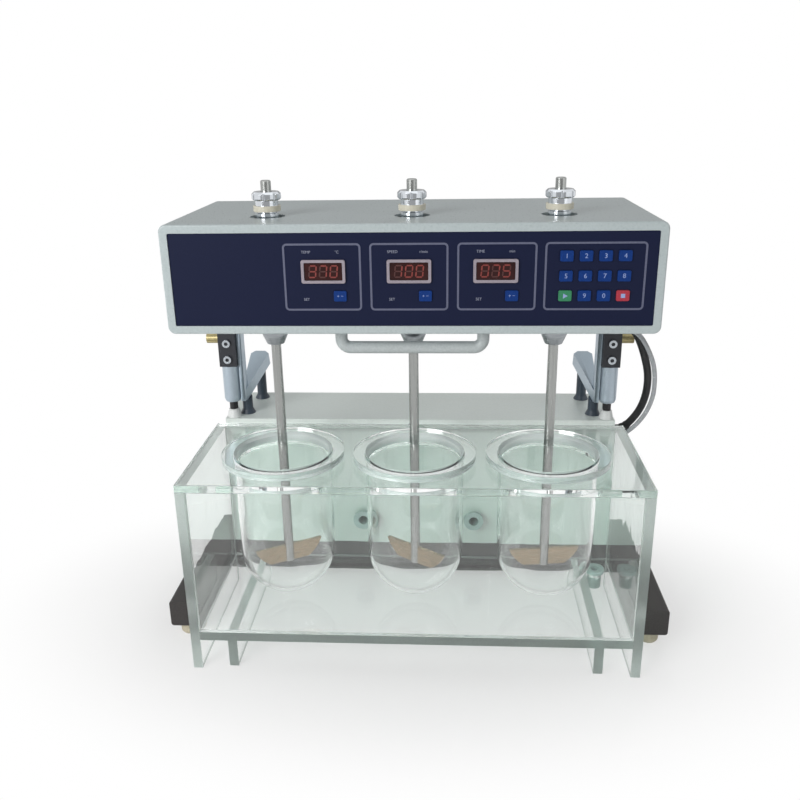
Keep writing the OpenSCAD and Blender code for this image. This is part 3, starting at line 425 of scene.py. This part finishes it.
rocker_black = finish_of("black_satin_abs", ("#232427", "#2b2c30"), 0.8, (0.3, 0.4), 0.02)
piece("rocker", rounded(copied("power_switch"), 0.5), rocker_black, "power_switch", "black_plastic",
      "power_switch")

# The rocker's on and off marks are moulded a little proud and filled white.
mark_white = finish_of("white_ink", ("#d9dbdc", "#e6e8e9"), 1.2, (0.5, 0.6))
rocker_marks = turned([(1.5, 0), (2.2, 0), (2.2, 0.25), (1.5, 0.25)], axis="y", steps=32)
lean = Matrix.Rotation(math.atan2(2.0, 9.0), 4, "X")
mark_y, mark_z = 0.0055, 0.0048
bmesh.ops.transform(rocker_marks, matrix=Matrix.Translation((0, mark_y, mark_z)) @ lean.inverted(),
                    verts=rocker_marks.verts)
stroke = bar((-0.35, 0, -2.2), (0.35, 0.25, 2.2))
bmesh.ops.transform(stroke, matrix=Matrix.Translation((0, mark_y, -mark_z)) @ lean, verts=stroke.verts)
both_marks = bpy.data.meshes.new("marks")
stroke.to_mesh(both_marks)
rocker_marks.from_mesh(both_marks)
stroke.free()
rocker_pin, rest_tip = (-0.104, 0.1265, 0.110), math.radians(-10)
seat = Matrix.Translation(rocker_pin) @ Matrix.Rotation(rest_tip, 4, "X")
bmesh.ops.transform(rocker_marks, matrix=seat, verts=rocker_marks.verts)
piece("rocker_marks", rocker_marks, mark_white, "power_switch", "black_plastic")


# Pump and heater: a canned circulation pump and a tubular heater on the cabinet's floor.
# The pump is cast plastic, the heater a stainless tube.
def dress(finish, *nodes):
    """Give nodes whose solids are kept a finish."""
    for node in nodes:
        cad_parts[node].material_slots[0].material = finish


# Glass-filled plastic: dark grey and dull, with flow marks.
pump_plastic = finish_of("grey_moulded_polyamide", ("#43484e", "#50555b"), 4.0, (0.45, 0.6), 0.05)
# Stainless tube: brushed round, so its gloss is broken into fine streaks.
stainless = finish_of("brushed_stainless", ("#989a98", "#a5a7a5"), 0.9, (0.2, 0.28), 0.0, (1, 1, 0.03),
                      {"Metallic": 1.0})
dress(pump_plastic, "circulation_pump")
dress(stainless, "water_heater")


# Bath: seven clear acrylic plates glued into a tank; its side walls and two runners are its legs.
# The faces are polished; the sawn edges scatter light and draw each plate's outline in pale green-white.
def clear_solid(name, tint, density, ior, rough, shade):
    """Clear solid that lets lamp light through, with the colour that its thickness gives."""
    material = bpy.data.materials.new(name)
    material.use_nodes = True
    tree = material.node_tree
    tree.nodes.clear()
    place = add(tree, "ShaderNodeTexCoord")
    ripple = add(tree, "ShaderNodeTexNoise",
                 {"Vector": place.outputs["Object"], "Scale": 22.0, "Detail": 2.0})
    bump = add(tree, "ShaderNodeBump",
               {"Height": ripple.outputs["Fac"], "Distance": 0.0006, "Strength": 0.25})
    body = add(tree, "ShaderNodeBsdfPrincipled",
               {"Base Color": (1.0, 1.0, 1.0, 1.0), "Transmission Weight": 1.0, "IOR": ior,
                "Roughness": rough, "Normal": bump.outputs["Normal"]})
    through = add(tree, "ShaderNodeBsdfTransparent", {"Color": lin(shade)})
    ray = add(tree, "ShaderNodeLightPath")
    mixed = add(tree, "ShaderNodeMixShader",
                {0: ray.outputs["Is Shadow Ray"], 1: body.outputs["BSDF"], 2: through.outputs[0]})
    depth = add(tree, "ShaderNodeVolumeAbsorption", {"Color": lin(tint), "Density": density})
    add(tree, "ShaderNodeOutputMaterial", {"Surface": mixed.outputs[0], "Volume": depth.outputs[0]})
    return material


# Cast acrylic: clear, with a slow ripple in its faces and a grey-green edge.
acrylic = clear_solid("cast_acrylic", "#d0ddd8", 4.0, 1.49, 0.0, "#e3ebe8")
# Sawn acrylic: frosted, so it gathers light and looks paler than the faces.
sawn_edge = finish_of("sawn_acrylic_edge", ("#ccd6d2", "#d8e1dd"), 1.2, (0.3, 0.42), 0.03,
                      shader={"Transmission Weight": 0.8, "IOR": 1.49})

port_xs, port_z, drain_at, hole_r = (-66, 66), 97, (208, 3, 0), 7.95
wall_holes = [turned([(0, 20), (hole_r, 20), (hole_r, 50), (0, 50)], (x, 0, port_z), "y") for x in port_xs]
drain_hole = turned([(0, 30), (hole_r, 30), (hole_r, 50), (0, 50)], drain_at)
tank_x, front_y, back_y, tank_top = 236.5, -135, 37, 207.5
side_t, wall_t, floor_low, floor_t = 10, 8, 35, 10
runner_x, runner_t, runner_front, glue = 188.5, 10, -130, 0.05
in_x = tank_x - side_t
wall_x, wall_low = in_x - glue, floor_low + floor_t + glue
for name, low, high, thin, holes in (
        ("bath_side_left", (-tank_x, front_y, 0), (-in_x, back_y, tank_top), 0, []),
        ("bath_side_right", (in_x, front_y, 0), (tank_x, back_y, tank_top), 0, []),
        ("bath_floor", (-wall_x, front_y, floor_low), (wall_x, back_y, floor_low + floor_t), 2, [drain_hole]),
        ("bath_front", (-wall_x, front_y, wall_low), (wall_x, front_y + wall_t, tank_top), 1, []),
        ("bath_rear", (-wall_x, back_y - wall_t, wall_low), (wall_x, back_y, tank_top), 1, wall_holes),
        ("bath_runner_left", (-runner_x - runner_t, runner_front, 0), (-runner_x, back_y, floor_low - glue),
         0, []),
        ("bath_runner_right", (runner_x, runner_front, 0), (runner_x + runner_t, back_y, floor_low - glue),
         0, [])):
    plate = rounded(bar(low, high), 0.35)
    for hole in holes:
        plate = cut(plate, hole)
    item = piece(name, plate, acrylic, "cabinet", "acrylic", "bath_tank")
    second_finish(item, sawn_edge, lambda m, n: abs(n[thin]) < 0.9)

# Water connections: two flanged pipes through the back wall and a drain fitting in the floor.
# Turned grey-green plastic, glued in.
port_plastic = finish_of("turned_grey_pvc", ("#8fa29f", "#a3b5b1"), 1.0, (0.35, 0.5), 0.03)
port = turned([(5.5, 25), (11.9, 25), (11.9, 28.8), (7.9, 28.8), (7.9, 52), (5.5, 52)], axis="y")
port_spots = [(x, 0, port_z) for x in port_xs]
piece("water_connections", set_on("port", rounded(port, 0.5), port_spots, port_plastic), None,
      "cabinet", "port_plastic", "bath_ports")
drain = turned([(5, 21), (7.9, 21), (7.9, 45.2), (11, 45.2), (11, 50), (5, 50)], drain_at)
piece("drain_fitting", rounded(drain, 0.5), port_plastic, "cabinet", "port_plastic")

# Lid: one clear acrylic plate on the tank's walls, bored for the three vessels.
# Same cast acrylic as the tank; it rests loose and is lifted off by hand.
lid, air_gap = copied("bath_lid"), 0.0002
underside = min(vertex.co.z for vertex in lid.verts)
for vertex in lid.verts:
    if vertex.co.z < underside + air_gap:
        vertex.co.z += air_gap
piece("bath_lid_clear", rounded(lid, 0.4), acrylic, "cabinet", "acrylic", "bath_lid")

# Vessels: three one-litre round-bottomed glasses that hang by flat flanged rims in the lid.
# Blown borosilicate, nearly colourless, ground inside the mouth.
borosilicate = clear_solid("borosilicate_glass", "#d4e6e2", 5.0, 1.47, 0.0, "#eef4f2")
shaft_xs, shaft_y = (-140, 0, 140), -59
outer_r, inner_r, ball_z = 51.5, 49.0, 111.5
rim_r, rim_low, rim_top, mouth_r, mouth_low = 65.0, 215.65, 223.0, 51.9, 219.8
outline = [(0.0, ball_z - outer_r)]
outline += [(outer_r * math.sin(a), ball_z - outer_r * math.cos(a))
            for a in (math.pi / 2 * k / 24 for k in range(1, 25))]
outline += [(outer_r, z) for z in (140, 170, 200, 210)]
outline += [(outer_r + 0.3, 214.0), (outer_r + 0.9, 215.2), (outer_r + 2.0, rim_low)]
outline += [(rim_r - 0.6, rim_low), (rim_r - 0.15, rim_low + 0.2), (rim_r, rim_low + 0.65)]
outline += [(rim_r, rim_top - 0.6), (rim_r - 0.15, rim_top - 0.15), (rim_r - 0.6, rim_top)]
outline += [(mouth_r + 0.4, rim_top), (mouth_r, rim_top - 0.15)]
outline += [(inner_r + 0.25, mouth_low + 0.4), (inner_r + 0.05, mouth_low)]
outline += [(inner_r, z) for z in (213, 200, 170, 140)]
outline += [(inner_r * math.sin(a), ball_z - inner_r * math.cos(a))
            for a in (math.pi / 2 * k / 24 for k in range(24, 0, -1))]
outline += [(0.0, ball_z - inner_r)]
vessel_spots = [(x, shaft_y, 0) for x in shaft_xs]
vessel_mesh = set_on("vessel", turned(outline, steps=96), vessel_spots, borosilicate)
# Ground glass: the mouth is ground inside, and catches the light as a pale ring.
ground = finish_of("ground_glass", ("#c9d5d2", "#d6e0dd"), 0.8, (0.35, 0.45), 0.02,
                   shader={"Transmission Weight": 0.35, "IOR": 1.47})
item = piece("glass_vessels", vessel_mesh, borosilicate, "cabinet", "vessel_glass", "vessels")
ground_low, ground_r = 213.5, 51.2
second_finish(item, ground, lambda m, n: (
    m.z > ground_low and abs(n.z) < 0.9
    and min(math.hypot(m.x - x, m.y - shaft_y) for x in shaft_xs) < ground_r))

# Guides: an upright plate that enters the head and a sloping bar on two posts, at each side.
# Milled aluminium, satin anodised a bluish grey; the posts are turned steel, blackened.
anodised = finish_of("satin_anodised_aluminium", ("#a3b3c0", "#b3c1cb"), 0.8, (0.3, 0.42), 0.0,
                     (1, 1, 0.05), {"Metallic": 0.35})
piece("guide_brackets_anodised", rounded(copied("guide_brackets"), 0.7), anodised, "cabinet", "guide_alu",
      "guide_brackets")
blackened = finish_of("blackened_steel", ("#2d3843", "#394552"), 1.4, (0.35, 0.5), 0.02)
piece("guide_posts_blackened", rounded(copied("guide_posts"), 0.4), blackened, "cabinet", "post_black",
      "guide_posts")

# Pillars: two polished steel rods that carry the head's slider blocks.
# Each stands on a white conical seat screwed to the cabinet, with a black rubber ring between.
chrome = finish_of("polished_chrome", ("#cfd4d9", "#d5d9de"), 14.0, (0.09, 0.11), shader={"Metallic": 1.0})
pillar_x, pillar_y, pillar_r, sleeve_top = 218, 47, 7.5, 285
item = piece("lift_pillars_polished", rounded(copied("lift_pillars"), 0.3), chrome, "cabinet",
             "polished_steel", "lift_pillars")
# Sleeves: plain ground steel, duller than the rods inside them.
ground_steel = finish_of("ground_steel", ("#abb8c3", "#b5c1cb"), 1.2, (0.3, 0.4), shader={"Metallic": 0.5})
second_finish(item, ground_steel, lambda m, n: (
    m.z < sleeve_top and math.hypot(abs(m.x) - pillar_x, m.y - pillar_y) > pillar_r + 0.4))
seat_white = finish_of("white_acetal", ("#dde0df", "#e9ebea"), 1.5, (0.35, 0.45), 0.02)
ring_rubber = finish_of("black_rubber", ("#1c1c1e", "#262628"), 1.2, (0.5, 0.65), 0.04)
bolt_r, seat_z, ring_z, ring_top = 3.05, 221, 231, 239.9
for side, x in (("left", -pillar_x), ("right", pillar_x)):
    cone = turned([(bolt_r, seat_z), (8.2, seat_z), (8.2, seat_z + 1), (5.9, ring_z), (bolt_r, ring_z)],
                  (x, pillar_y, 0))
    piece("pillar_seat_" + side, rounded(cone, 0.5), seat_white, "cabinet", "mount_white", "pillar_mounts")
    ring = turned([(bolt_r, ring_z), (4.8, ring_z), (4.8, ring_top), (bolt_r, ring_top)], (x, pillar_y, 0))
    piece("pillar_ring_" + side, rounded(ring, 0.8, 3), ring_rubber, "cabinet", "mount_white")

# Head: a painted steel shell with a front frame round the panel, and a zinc-plated base plate inside it.
# Light grey stove enamel with a green-blue cast, semi-gloss; the front edge is rolled round.
head_enamel = finish_of("light_grey_stove_enamel", ("#b2bdbe", "#bac4c5"), 2.4, (0.26, 0.36), 0.025)
shell = copied("head_shell")
frame_y, frame_x, frame_low, frame_top = -114.9, 224, 373, 461
rounded(shell, 2.0, 4, only=lambda m: (
    m.y < frame_y and (abs(m.x) > frame_x or m.z > frame_top or m.z < frame_low)))
rounded(shell, 0.6, 2)
piece("head_shell_enamelled", shell, head_enamel, "head", "head_paint", "head_shell")
dress(zinc, "head_base")

# Front panel: screen-printed film on a plate held behind the frame.
# Deep navy with a fine matt texture; thin grey lines frame the displays and the keypad.
navy_film = finish_of("navy_polyester_film", ("#151b34", "#191f3b"), 0.7, (0.42, 0.55), 0.01,
                      shader={"Specular IOR Level": 0.12})
dress(navy_film, "front_panel")
ink_grey = finish_of("grey_screen_ink", ("#565a71", "#60647b"), 1.5, (0.5, 0.6))
face_y, ink_t, ink_sunk = -114.0, 0.12, 0.03


def ribbon_frame(mesh, x, z, w, h, r, line):
    """Rounded rectangular line of printed ink on the panel's face, sizes in mm."""
    loops = []
    for inset in (0.0, line):
        loop = []
        for cx, cz, start in ((1, 1, 0), (-1, 1, 90), (-1, -1, 180), (1, -1, 270)):
            for k in range(9):
                a = math.radians(start + 90 * k / 8)
                loop.append((x + cx * (w / 2 - r) + (r - inset) * math.cos(a),
                             z + cz * (h / 2 - r) + (r - inset) * math.sin(a)))
        loops.append(loop)
    sheets = [[[mesh.verts.new((px / 1000, y / 1000, pz / 1000)) for px, pz in loop] for loop in loops]
              for y in (face_y - ink_t, face_y + ink_sunk)]
    (fo, fi), (bo, bi) = sheets
    for k in range(len(fo)):
        n = (k + 1) % len(fo)
        for quad in ((fo[k], fo[n], fi[n], fi[k]), (bo[k], bi[k], bi[n], bo[n]),
                     (fo[k], bo[k], bo[n], fo[n]), (fi[k], fi[n], bi[n], bi[k])):
            mesh.faces.new(quad)


line_z, line_h, line_r, line_w = 419.0, 62.5, 4.0, 1.8
print_mesh = bmesh.new()
for x, w in ((-81.0, 72.0), (-1.0, 72.0), (79.0, 72.0), (167.5, 91.0)):
    ribbon_frame(print_mesh, x, line_z, w, line_h, line_r, line_w)
bmesh.ops.recalc_face_normals(print_mesh, faces=print_mesh.faces)
piece("panel_lines", print_mesh, ink_grey, "head", "bezel")


def lettering(mesh, words, x, y, z, height, depth=ink_t):
    """Add upright words, height mm tall, centred at x and z on a face that looks along -Y at y."""
    curve = bpy.data.curves.new("words", "FONT")
    curve.body = words
    curve.align_x, curve.align_y = "CENTER", "CENTER"
    capital_share = 0.7
    curve.size = height / 1000 / capital_share
    curve.extrude = depth / 2000
    curve.resolution_u = 3
    item = bpy.data.objects.new("words", curve)
    scene.collection.objects.link(item)
    data = bpy.data.meshes.new_from_object(item.evaluated_get(bpy.context.evaluated_depsgraph_get()))
    bpy.data.objects.remove(item)
    place = Matrix.Translation((x / 1000, (y - depth / 2 + 0.02) / 1000, z / 1000))
    data.transform(place @ Matrix.Rotation(math.pi / 2, 4, "X"))
    mesh.from_mesh(data)
    bmesh.ops.remove_doubles(mesh, verts=mesh.verts, dist=1e-7)


# Function words and units beside the displays, in pale ink.
ink_pale = finish_of("pale_screen_ink", ("#8a8ea0", "#969aac"), 1.5, (0.5, 0.6))
word_h, upper_z, lower_z = 2.5, 442.2, 398.2
words_mesh = bmesh.new()
for x, name, unit in ((-81.0, "TEMP", "°C"), (-1.5, "SPEED", "r/min"), (78.5, "TIME", "min")):
    lettering(words_mesh, name, x - 14.5, face_y, upper_z, word_h)
    lettering(words_mesh, unit, x + 14.0, face_y, upper_z, word_h)
    lettering(words_mesh, "SET", x - 15.5, face_y, lower_z, word_h)
piece("panel_words", words_mesh, ink_pale, "head", "bezel")

# Displays: three red windows in raised frames, with three seven-segment figures behind each.
# The frames are pinkish grey moulded plastic, the windows dark red acrylic, the figures dim red light.
bezel_plastic = finish_of("pinkish_grey_abs", ("#938a93", "#9f969f"), 1.2, (0.4, 0.5), 0.02)
piece("display_frames", rounded(copied("display_bezels"), 0.5), bezel_plastic, "head", "bezel",
      "display_bezels")
window_red = finish_of("dark_red_acrylic", ("#2c1010", "#361413"), 8.0, (0.14, 0.22),
                       shader={"Specular IOR Level": 0.25})
piece("display_windows_red", rounded(copied("display_windows"), 0.3), window_red, "head", "display_red",
      "display_windows")

lit_red = finish_of("lit_red_segment", ("#742b26", "#80332d"), 2.0, (0.4, 0.5),
                    shader={"Emission Color": lin("#d2483c"), "Emission Strength": 0.03})
dim_red = finish_of("unlit_red_segment", ("#431a18", "#4b1f1c"), 2.0, (0.4, 0.5))
digit_h, digit_w, stroke_w, slant, joint_gap = 10.6, 6.2, 1.3, 0.1, 0.25
digit_step, digit_z, window_y = 9.8, 424.5, -115.0
strokes = {"a": (0, 1, 1, 1), "b": (1, 1, 1, 0), "c": (1, 0, 1, -1), "d": (0, -1, 1, -1),
           "e": (0, 0, 0, -1), "f": (0, 1, 0, 0), "g": (0, 0, 1, 0)}
figures = {"0": "abcdef", "1": "bc", "3": "abcdg", "5": "acdfg", "7": "abc"}


def printed(mesh, corners, y):
    """Add a flat shape with the given (x, z) corners in mm on a face that looks along -Y at y."""
    front, back = ([mesh.verts.new((x / 1000, (y + step) / 1000, z / 1000)) for x, z in corners]
                   for step in (-ink_t, ink_sunk))
    mesh.faces.new(front)
    mesh.faces.new(back[::-1])
    for k in range(len(front)):
        n = (k + 1) % len(front)
        mesh.faces.new((front[k], back[k], back[n], front[n]))


def segment(mesh, key, x, z, y):
    """One bar of a figure, pointed at both ends, leaning with the figure."""
    x0, z0, x1, z1 = strokes[key]
    one = Vector((x0 * digit_w, z0 * digit_h / 2))
    two = Vector((x1 * digit_w, z1 * digit_h / 2))
    along = (two - one).normalized()
    side = Vector((-along.y, along.x)) * stroke_w / 2
    tip = along * stroke_w / 2
    one, two = one + along * joint_gap, two - along * joint_gap
    flat = [one, one + tip - side, two - tip - side, two, two - tip + side, one + tip + side]
    printed(mesh, [(x + p.x - digit_w / 2 + slant * p.y, z + p.y) for p in flat], y)


lit_mesh, dim_mesh = bmesh.new(), bmesh.new()
for x, reading in ((-80, "370"), (-1, "100"), (78, "075")):
    for place, figure in enumerate(reading):
        for key in strokes:
            mesh = lit_mesh if key in figures[figure] else dim_mesh
            segment(mesh, key, x + (place - 1) * digit_step, digit_z, window_y)
for mesh, name, finish in ((lit_mesh, "display_figures_lit", lit_red),
                           (dim_mesh, "display_figures_dim", dim_red)):
    bmesh.ops.recalc_face_normals(mesh, faces=mesh.faces)
    piece(name, mesh, finish, "head", "display_red")

# Keys and buttons: moulded caps that stand through the panel, each sprung on its own.
# Blue, green and red silicone rubber with a soft sheen; their marks are printed in pale ink.
key_blue = finish_of("dark_blue_silicone", ("#0f3272", "#133a80"), 0.9, (0.38, 0.5), 0.02,
                     shader={"Specular IOR Level": 0.15})
key_green = finish_of("green_silicone", ("#37805a", "#3f8a63"), 0.9, (0.38, 0.5), 0.02,
                      shader={"Specular IOR Level": 0.2})
key_red = finish_of("red_silicone", ("#a83644", "#b43e4c"), 0.9, (0.38, 0.5), 0.02,
                    shader={"Specular IOR Level": 0.2})
key_ink = finish_of("pale_key_ink", ("#8fa0cf", "#9cacd8"), 1.0, (0.5, 0.6))
cap_y, keypad_x, keypad_z, key_dx, key_dz = -115.5, 167.5, 419.5, 17.4, 18.2
rows = (("1", "2", "3", "4"), ("5", "6", "7", "8"), ("start", "9", "0", "stop"))
key_signs = {"start": [(-1.8, -2.3), (2.3, 0), (-1.8, 2.3)],
             "stop": [(-1.9, -1.9), (1.9, -1.9), (1.9, 1.9), (-1.9, 1.9)]}
for row, labels in enumerate(rows):
    for column, label in enumerate(labels):
        x, z = keypad_x + (column - 1.5) * key_dx, keypad_z - (row - 1) * key_dz
        finish, slot = {"start": (key_green, "key_green"), "stop": (key_red, "key_red")}.get(
            label, (key_blue, "key_blue"))
        body = "key_" + label
        piece(body + "_cap", rounded(copied(body), 0.7, 3), finish, body, slot, body)
        mark = bmesh.new()
        if label in key_signs:
            printed(mark, [(x + a, z + b) for a, b in key_signs[label]], cap_y)
            bmesh.ops.recalc_face_normals(mark, faces=mark.faces)
        else:
            lettering(mark, label, x, cap_y, z, 4.2)
        piece(body + "_mark", mark, key_ink, body, slot)
button_z = 401.5
for side, x in (("left", -65), ("mid", 14), ("right", 93)):
    body = "button_" + side
    piece(body + "_cap", rounded(copied(body), 0.7, 3), key_blue, body, "key_blue", body)
    mark = bmesh.new()
    lettering(mark, "+ −", x, cap_y, button_z, 3.0)
    piece(body + "_mark", mark, key_ink, body, "key_blue")

# Circuit board behind the panel, on standoffs. Glass-epoxy with green solder mask.
# It carries the displays and key switches and is out of sight in use.
board_green = finish_of("green_solder_mask", ("#235c3a", "#2f6d47"), 5.0, (0.3, 0.42), 0.02)
dress(board_green, "main_board")

# Handle: one round bar bent at both ends and screwed up into the base plate.
# Steel, painted a satin pale grey.
handle_paint = finish_of("satin_grey_paint", ("#b0b7b8", "#bcc3c3"), 1.8, (0.3, 0.4), 0.02)
dress(handle_paint, "handle")

# Bushings: turned steel sleeves flanged on the base plate, in which the spindles run.
# Fine turning marks ring them, which stretches their highlights.
turned_steel = finish_of("turned_steel", ("#8e9296", "#a5a9ac"), 0.7, (0.26, 0.4), 0.0, (0.05, 0.05, 1),
                         {"Metallic": 1.0})
piece("bushings_turned", rounded(copied("spindle_bushings"), 0.5), turned_steel, "head", "bushing_steel",
      "spindle_bushings")

# Drive: a motor on the base plate turns the three spindles by one flat belt.
# Painted motor can, turned pulley, black fabric-backed rubber belt.
motor_paint = finish_of("grey_hammer_paint", ("#4d5157", "#5a5f66"), 3.0, (0.35, 0.5), 0.08)
belt_rubber = finish_of("black_belt_rubber", ("#1b1b1d", "#252527"), 1.0, (0.55, 0.7), 0.05)
dress(motor_paint, "drive_motor")
dress(turned_steel, "motor_pulley")
dress(belt_rubber, "drive_belt")

# Slider blocks: bored blocks under the head that run on the pillars, with two hex-socket screws each.
# Black anodised aluminium; the screws are bright zinc, and their hex sockets are painted black as painted
# shade.
block_black = finish_of("black_anodised_aluminium_and_socket_shade", ("#1d1f26", "#272a32"), 0.9, (0.34, 0.46), 0.01)
piece("slider_blocks_anodised", rounded(copied("slider_blocks"), 0.6), block_black, "head", "block_black",
      "slider_blocks")
item = piece("block_screws_zinc", rounded(copied("block_screws"), 0.35), zinc, "head", "zinc_plate",
             "block_screws")
screw_zs, socket_r, head_face = (294, 313), 2.15, 34.3
# The sockets' inner faces take the blocks' black finish, which is painted shade in the recesses.
second_finish(item, block_black, lambda m, n: (
    m.y > head_face and min(math.hypot(abs(m.x) - pillar_x, m.z - z) for z in screw_zs) < socket_r))

# Lock knobs: grooved brass knobs on a threaded stem, which clamp the blocks to the pillars.
# Dull, slightly tarnished brass.
brass = finish_of("tarnished_brass", ("#8f8662", "#a79c76"), 2.5, (0.28, 0.42), shader={"Metallic": 1.0})
for side in ("left", "right"):
    body = "lock_knob_" + side
    piece(body + "_brass", rounded(copied(body), 0.25), brass, body, "knob_brass", body)

# Spindles: hollow steel shafts with a belt pulley, a pale collar and a grooved nut above the head.
# Chromed and polished; the collar is ivory nylon. The nut clamps the stirrer's shaft.
ivory = finish_of("ivory_nylon", ("#cfcab8", "#dbd6c5"), 1.5, (0.4, 0.5), 0.02)
for side, x in zip(("left", "mid", "right"), shaft_xs):
    body = "spindle_" + side
    piece(body + "_chromed", rounded(copied(body), 0.35), chrome, body, "polished_steel", body)
    collar = turned([(11.2, 473), (13.1, 473), (13.1, 478.6), (11.2, 478.6)], (x, shaft_y, 0))
    piece(body + "_collar", rounded(collar, 0.5), ivory, body, "polished_steel")
    body = "chuck_nut_" + side
    piece(body + "_chromed", rounded(copied(body), 0.4), chrome, body, "polished_steel", body)

# Stirrers: ground stainless shafts with a flat paddle welded on, one in each vessel.
# Both are brushed; the paddle's warmer tan is a painted reflection of its surroundings.
paddle_painted_reflection = finish_of("stainless_painted_tan_reflection", ("#95846a", "#a19075"), 0.5, (0.2, 0.3), 0.0,
                         (0.04, 0.04, 1), {"Metallic": 1.0})
blade_h = 19.4
for side in ("left", "mid", "right"):
    body = "stirrer_" + side
    item = piece(body + "_steel", rounded(copied(body), 0.4), stainless, body, "stainless", body)
    blade_top = min(v.co.z for v in item.data.vertices) * 1000 + blade_h
    # The paddle's faces below blade_top take the tan finish, which is a painted reflection.
    second_finish(item, paddle_painted_reflection, lambda m, n: m.z < blade_top)

# Cords: a black signal cable and a grey tube loop from the head's underside to the cabinet's right side.
# Smooth PVC sheath and clear grey silicone; rubber grommets hold them above, ribbed boots below.
sheath_black = finish_of("black_pvc_sheath", ("#121214", "#1a1a1c"), 3.0, (0.34, 0.46), 0.03)
tube_grey = finish_of("grey_silicone_tube", ("#b2b5b8", "#c2c5c8"), 4.0, (0.18, 0.28),
                      shader={"Transmission Weight": 0.45, "IOR": 1.42})
dress(ring_rubber, "head_grommets", "cabinet_glands")


def flowing(points, count):
    """Points evenly spread on a smooth curve through the route, in metres."""
    route = [Vector(p) / 1000 for p in points]
    ends = [route[0] * 2 - route[1]] + route + [route[-1] * 2 - route[-2]]
    fine = []
    for a, b, c, d in zip(ends, ends[1:], ends[2:], ends[3:]):
        for k in range(24):
            t = k / 24
            fine.append(0.5 * (2 * b + (c - a) * t + (2 * a - 5 * b + 4 * c - d) * t * t
                               + (3 * b - a - 3 * c + d) * t ** 3))
    fine.append(route[-1])
    far = [0.0]
    for one, two in zip(fine, fine[1:]):
        far.append(far[-1] + (two - one).length)
    spread, k = [], 0
    for i in range(count):
        want = far[-1] * i / (count - 1)
        while k < len(far) - 2 and far[k + 1] < want:
            k += 1
        spread.append(fine[k].lerp(fine[k + 1], (want - far[k]) / max(far[k + 1] - far[k], 1e-9)))
    return spread, far[-1]


def swept(line, radii, sides=24):
    """Closed round tube along a line of points, with a radius in metres at each."""
    mesh = bmesh.new()
    rings = []
    normal = (line[1] - line[0]).orthogonal().normalized()
    for k, spot in enumerate(line):
        ahead = (line[min(k + 1, len(line) - 1)] - line[max(k - 1, 0)]).normalized()
        normal = (normal - normal.dot(ahead) * ahead).normalized()
        across = ahead.cross(normal)
        rings.append([mesh.verts.new(spot + radii[k] * (math.cos(a) * normal + math.sin(a) * across))
                      for a in (2 * math.pi * i / sides for i in range(sides))])
    for one, two in zip(rings, rings[1:]):
        for i in range(sides):
            n = (i + 1) % sides
            mesh.faces.new((one[i], one[n], two[n], two[i]))
    mesh.faces.new(rings[0][::-1])
    mesh.faces.new(rings[-1])
    bmesh.ops.recalc_face_normals(mesh, faces=mesh.faces)
    return mesh


cable_route = [(206, 22, 366), (206, 22, 357), (210, 22, 348), (219, 22, 341), (230, 23, 336),
               (239, 24, 329), (246, 25, 316), (252, 27, 300), (257, 30, 282), (259, 35, 263),
               (258, 41, 245), (254, 47, 229), (247, 54, 214), (240, 60, 204), (232, 62, 200),
               (227, 62, 200)]
tube_route = [(206, 3, 366), (206, 3, 357), (210, 4, 349), (219, 6, 343), (230, 9, 337),
              (241, 12, 329), (249, 15, 318), (257, 20, 303), (262, 23, 289), (265, 27, 271),
              (265.5, 33, 251), (261.5, 40, 231), (254.5, 48, 214), (246, 57, 200), (240, 66, 191),
              (235, 72, 188.5), (230.5, 74, 188), (227, 74, 188)]
boot_l, boot_t, rib_h = 0.021, 2.6, 0.35
neck_l, neck_t, neck_edge = 0.012, 2.2, 0.3
for name, route, across, finish, slot, stiffness in (
        ("signal_cable", cable_route, 8.5, sheath_black, "cord_black", "medium"),
        ("grey_tube", tube_route, 5.0, tube_grey, "tube_grey", "limp")):
    line, length = flowing(route, 120)
    item = piece(name + "_sheath", swept(line, [across / 2000] * len(line)), finish, None, slot, name)
    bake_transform(item)
    boot = [p for p in line if (p - line[-1]).length < boot_l][::-1]
    radii = [(across / 2 + boot_t * (1 - k / len(boot)) + (rib_h if k % 4 < 2 else 0.0)) / 1000
             for k in range(len(boot))]
    piece(name + "_boot", swept(boot, radii), ring_rubber, "cabinet", "cord_black")
    neck = [p for p in line if (p - line[0]).length < neck_l]
    radii = [(across / 2 + neck_t * (1 - k / len(neck)) + neck_edge) / 1000 for k in range(len(neck))]
    piece(name + "_neck", swept(neck, radii), ring_rubber, "head", "cord_black")
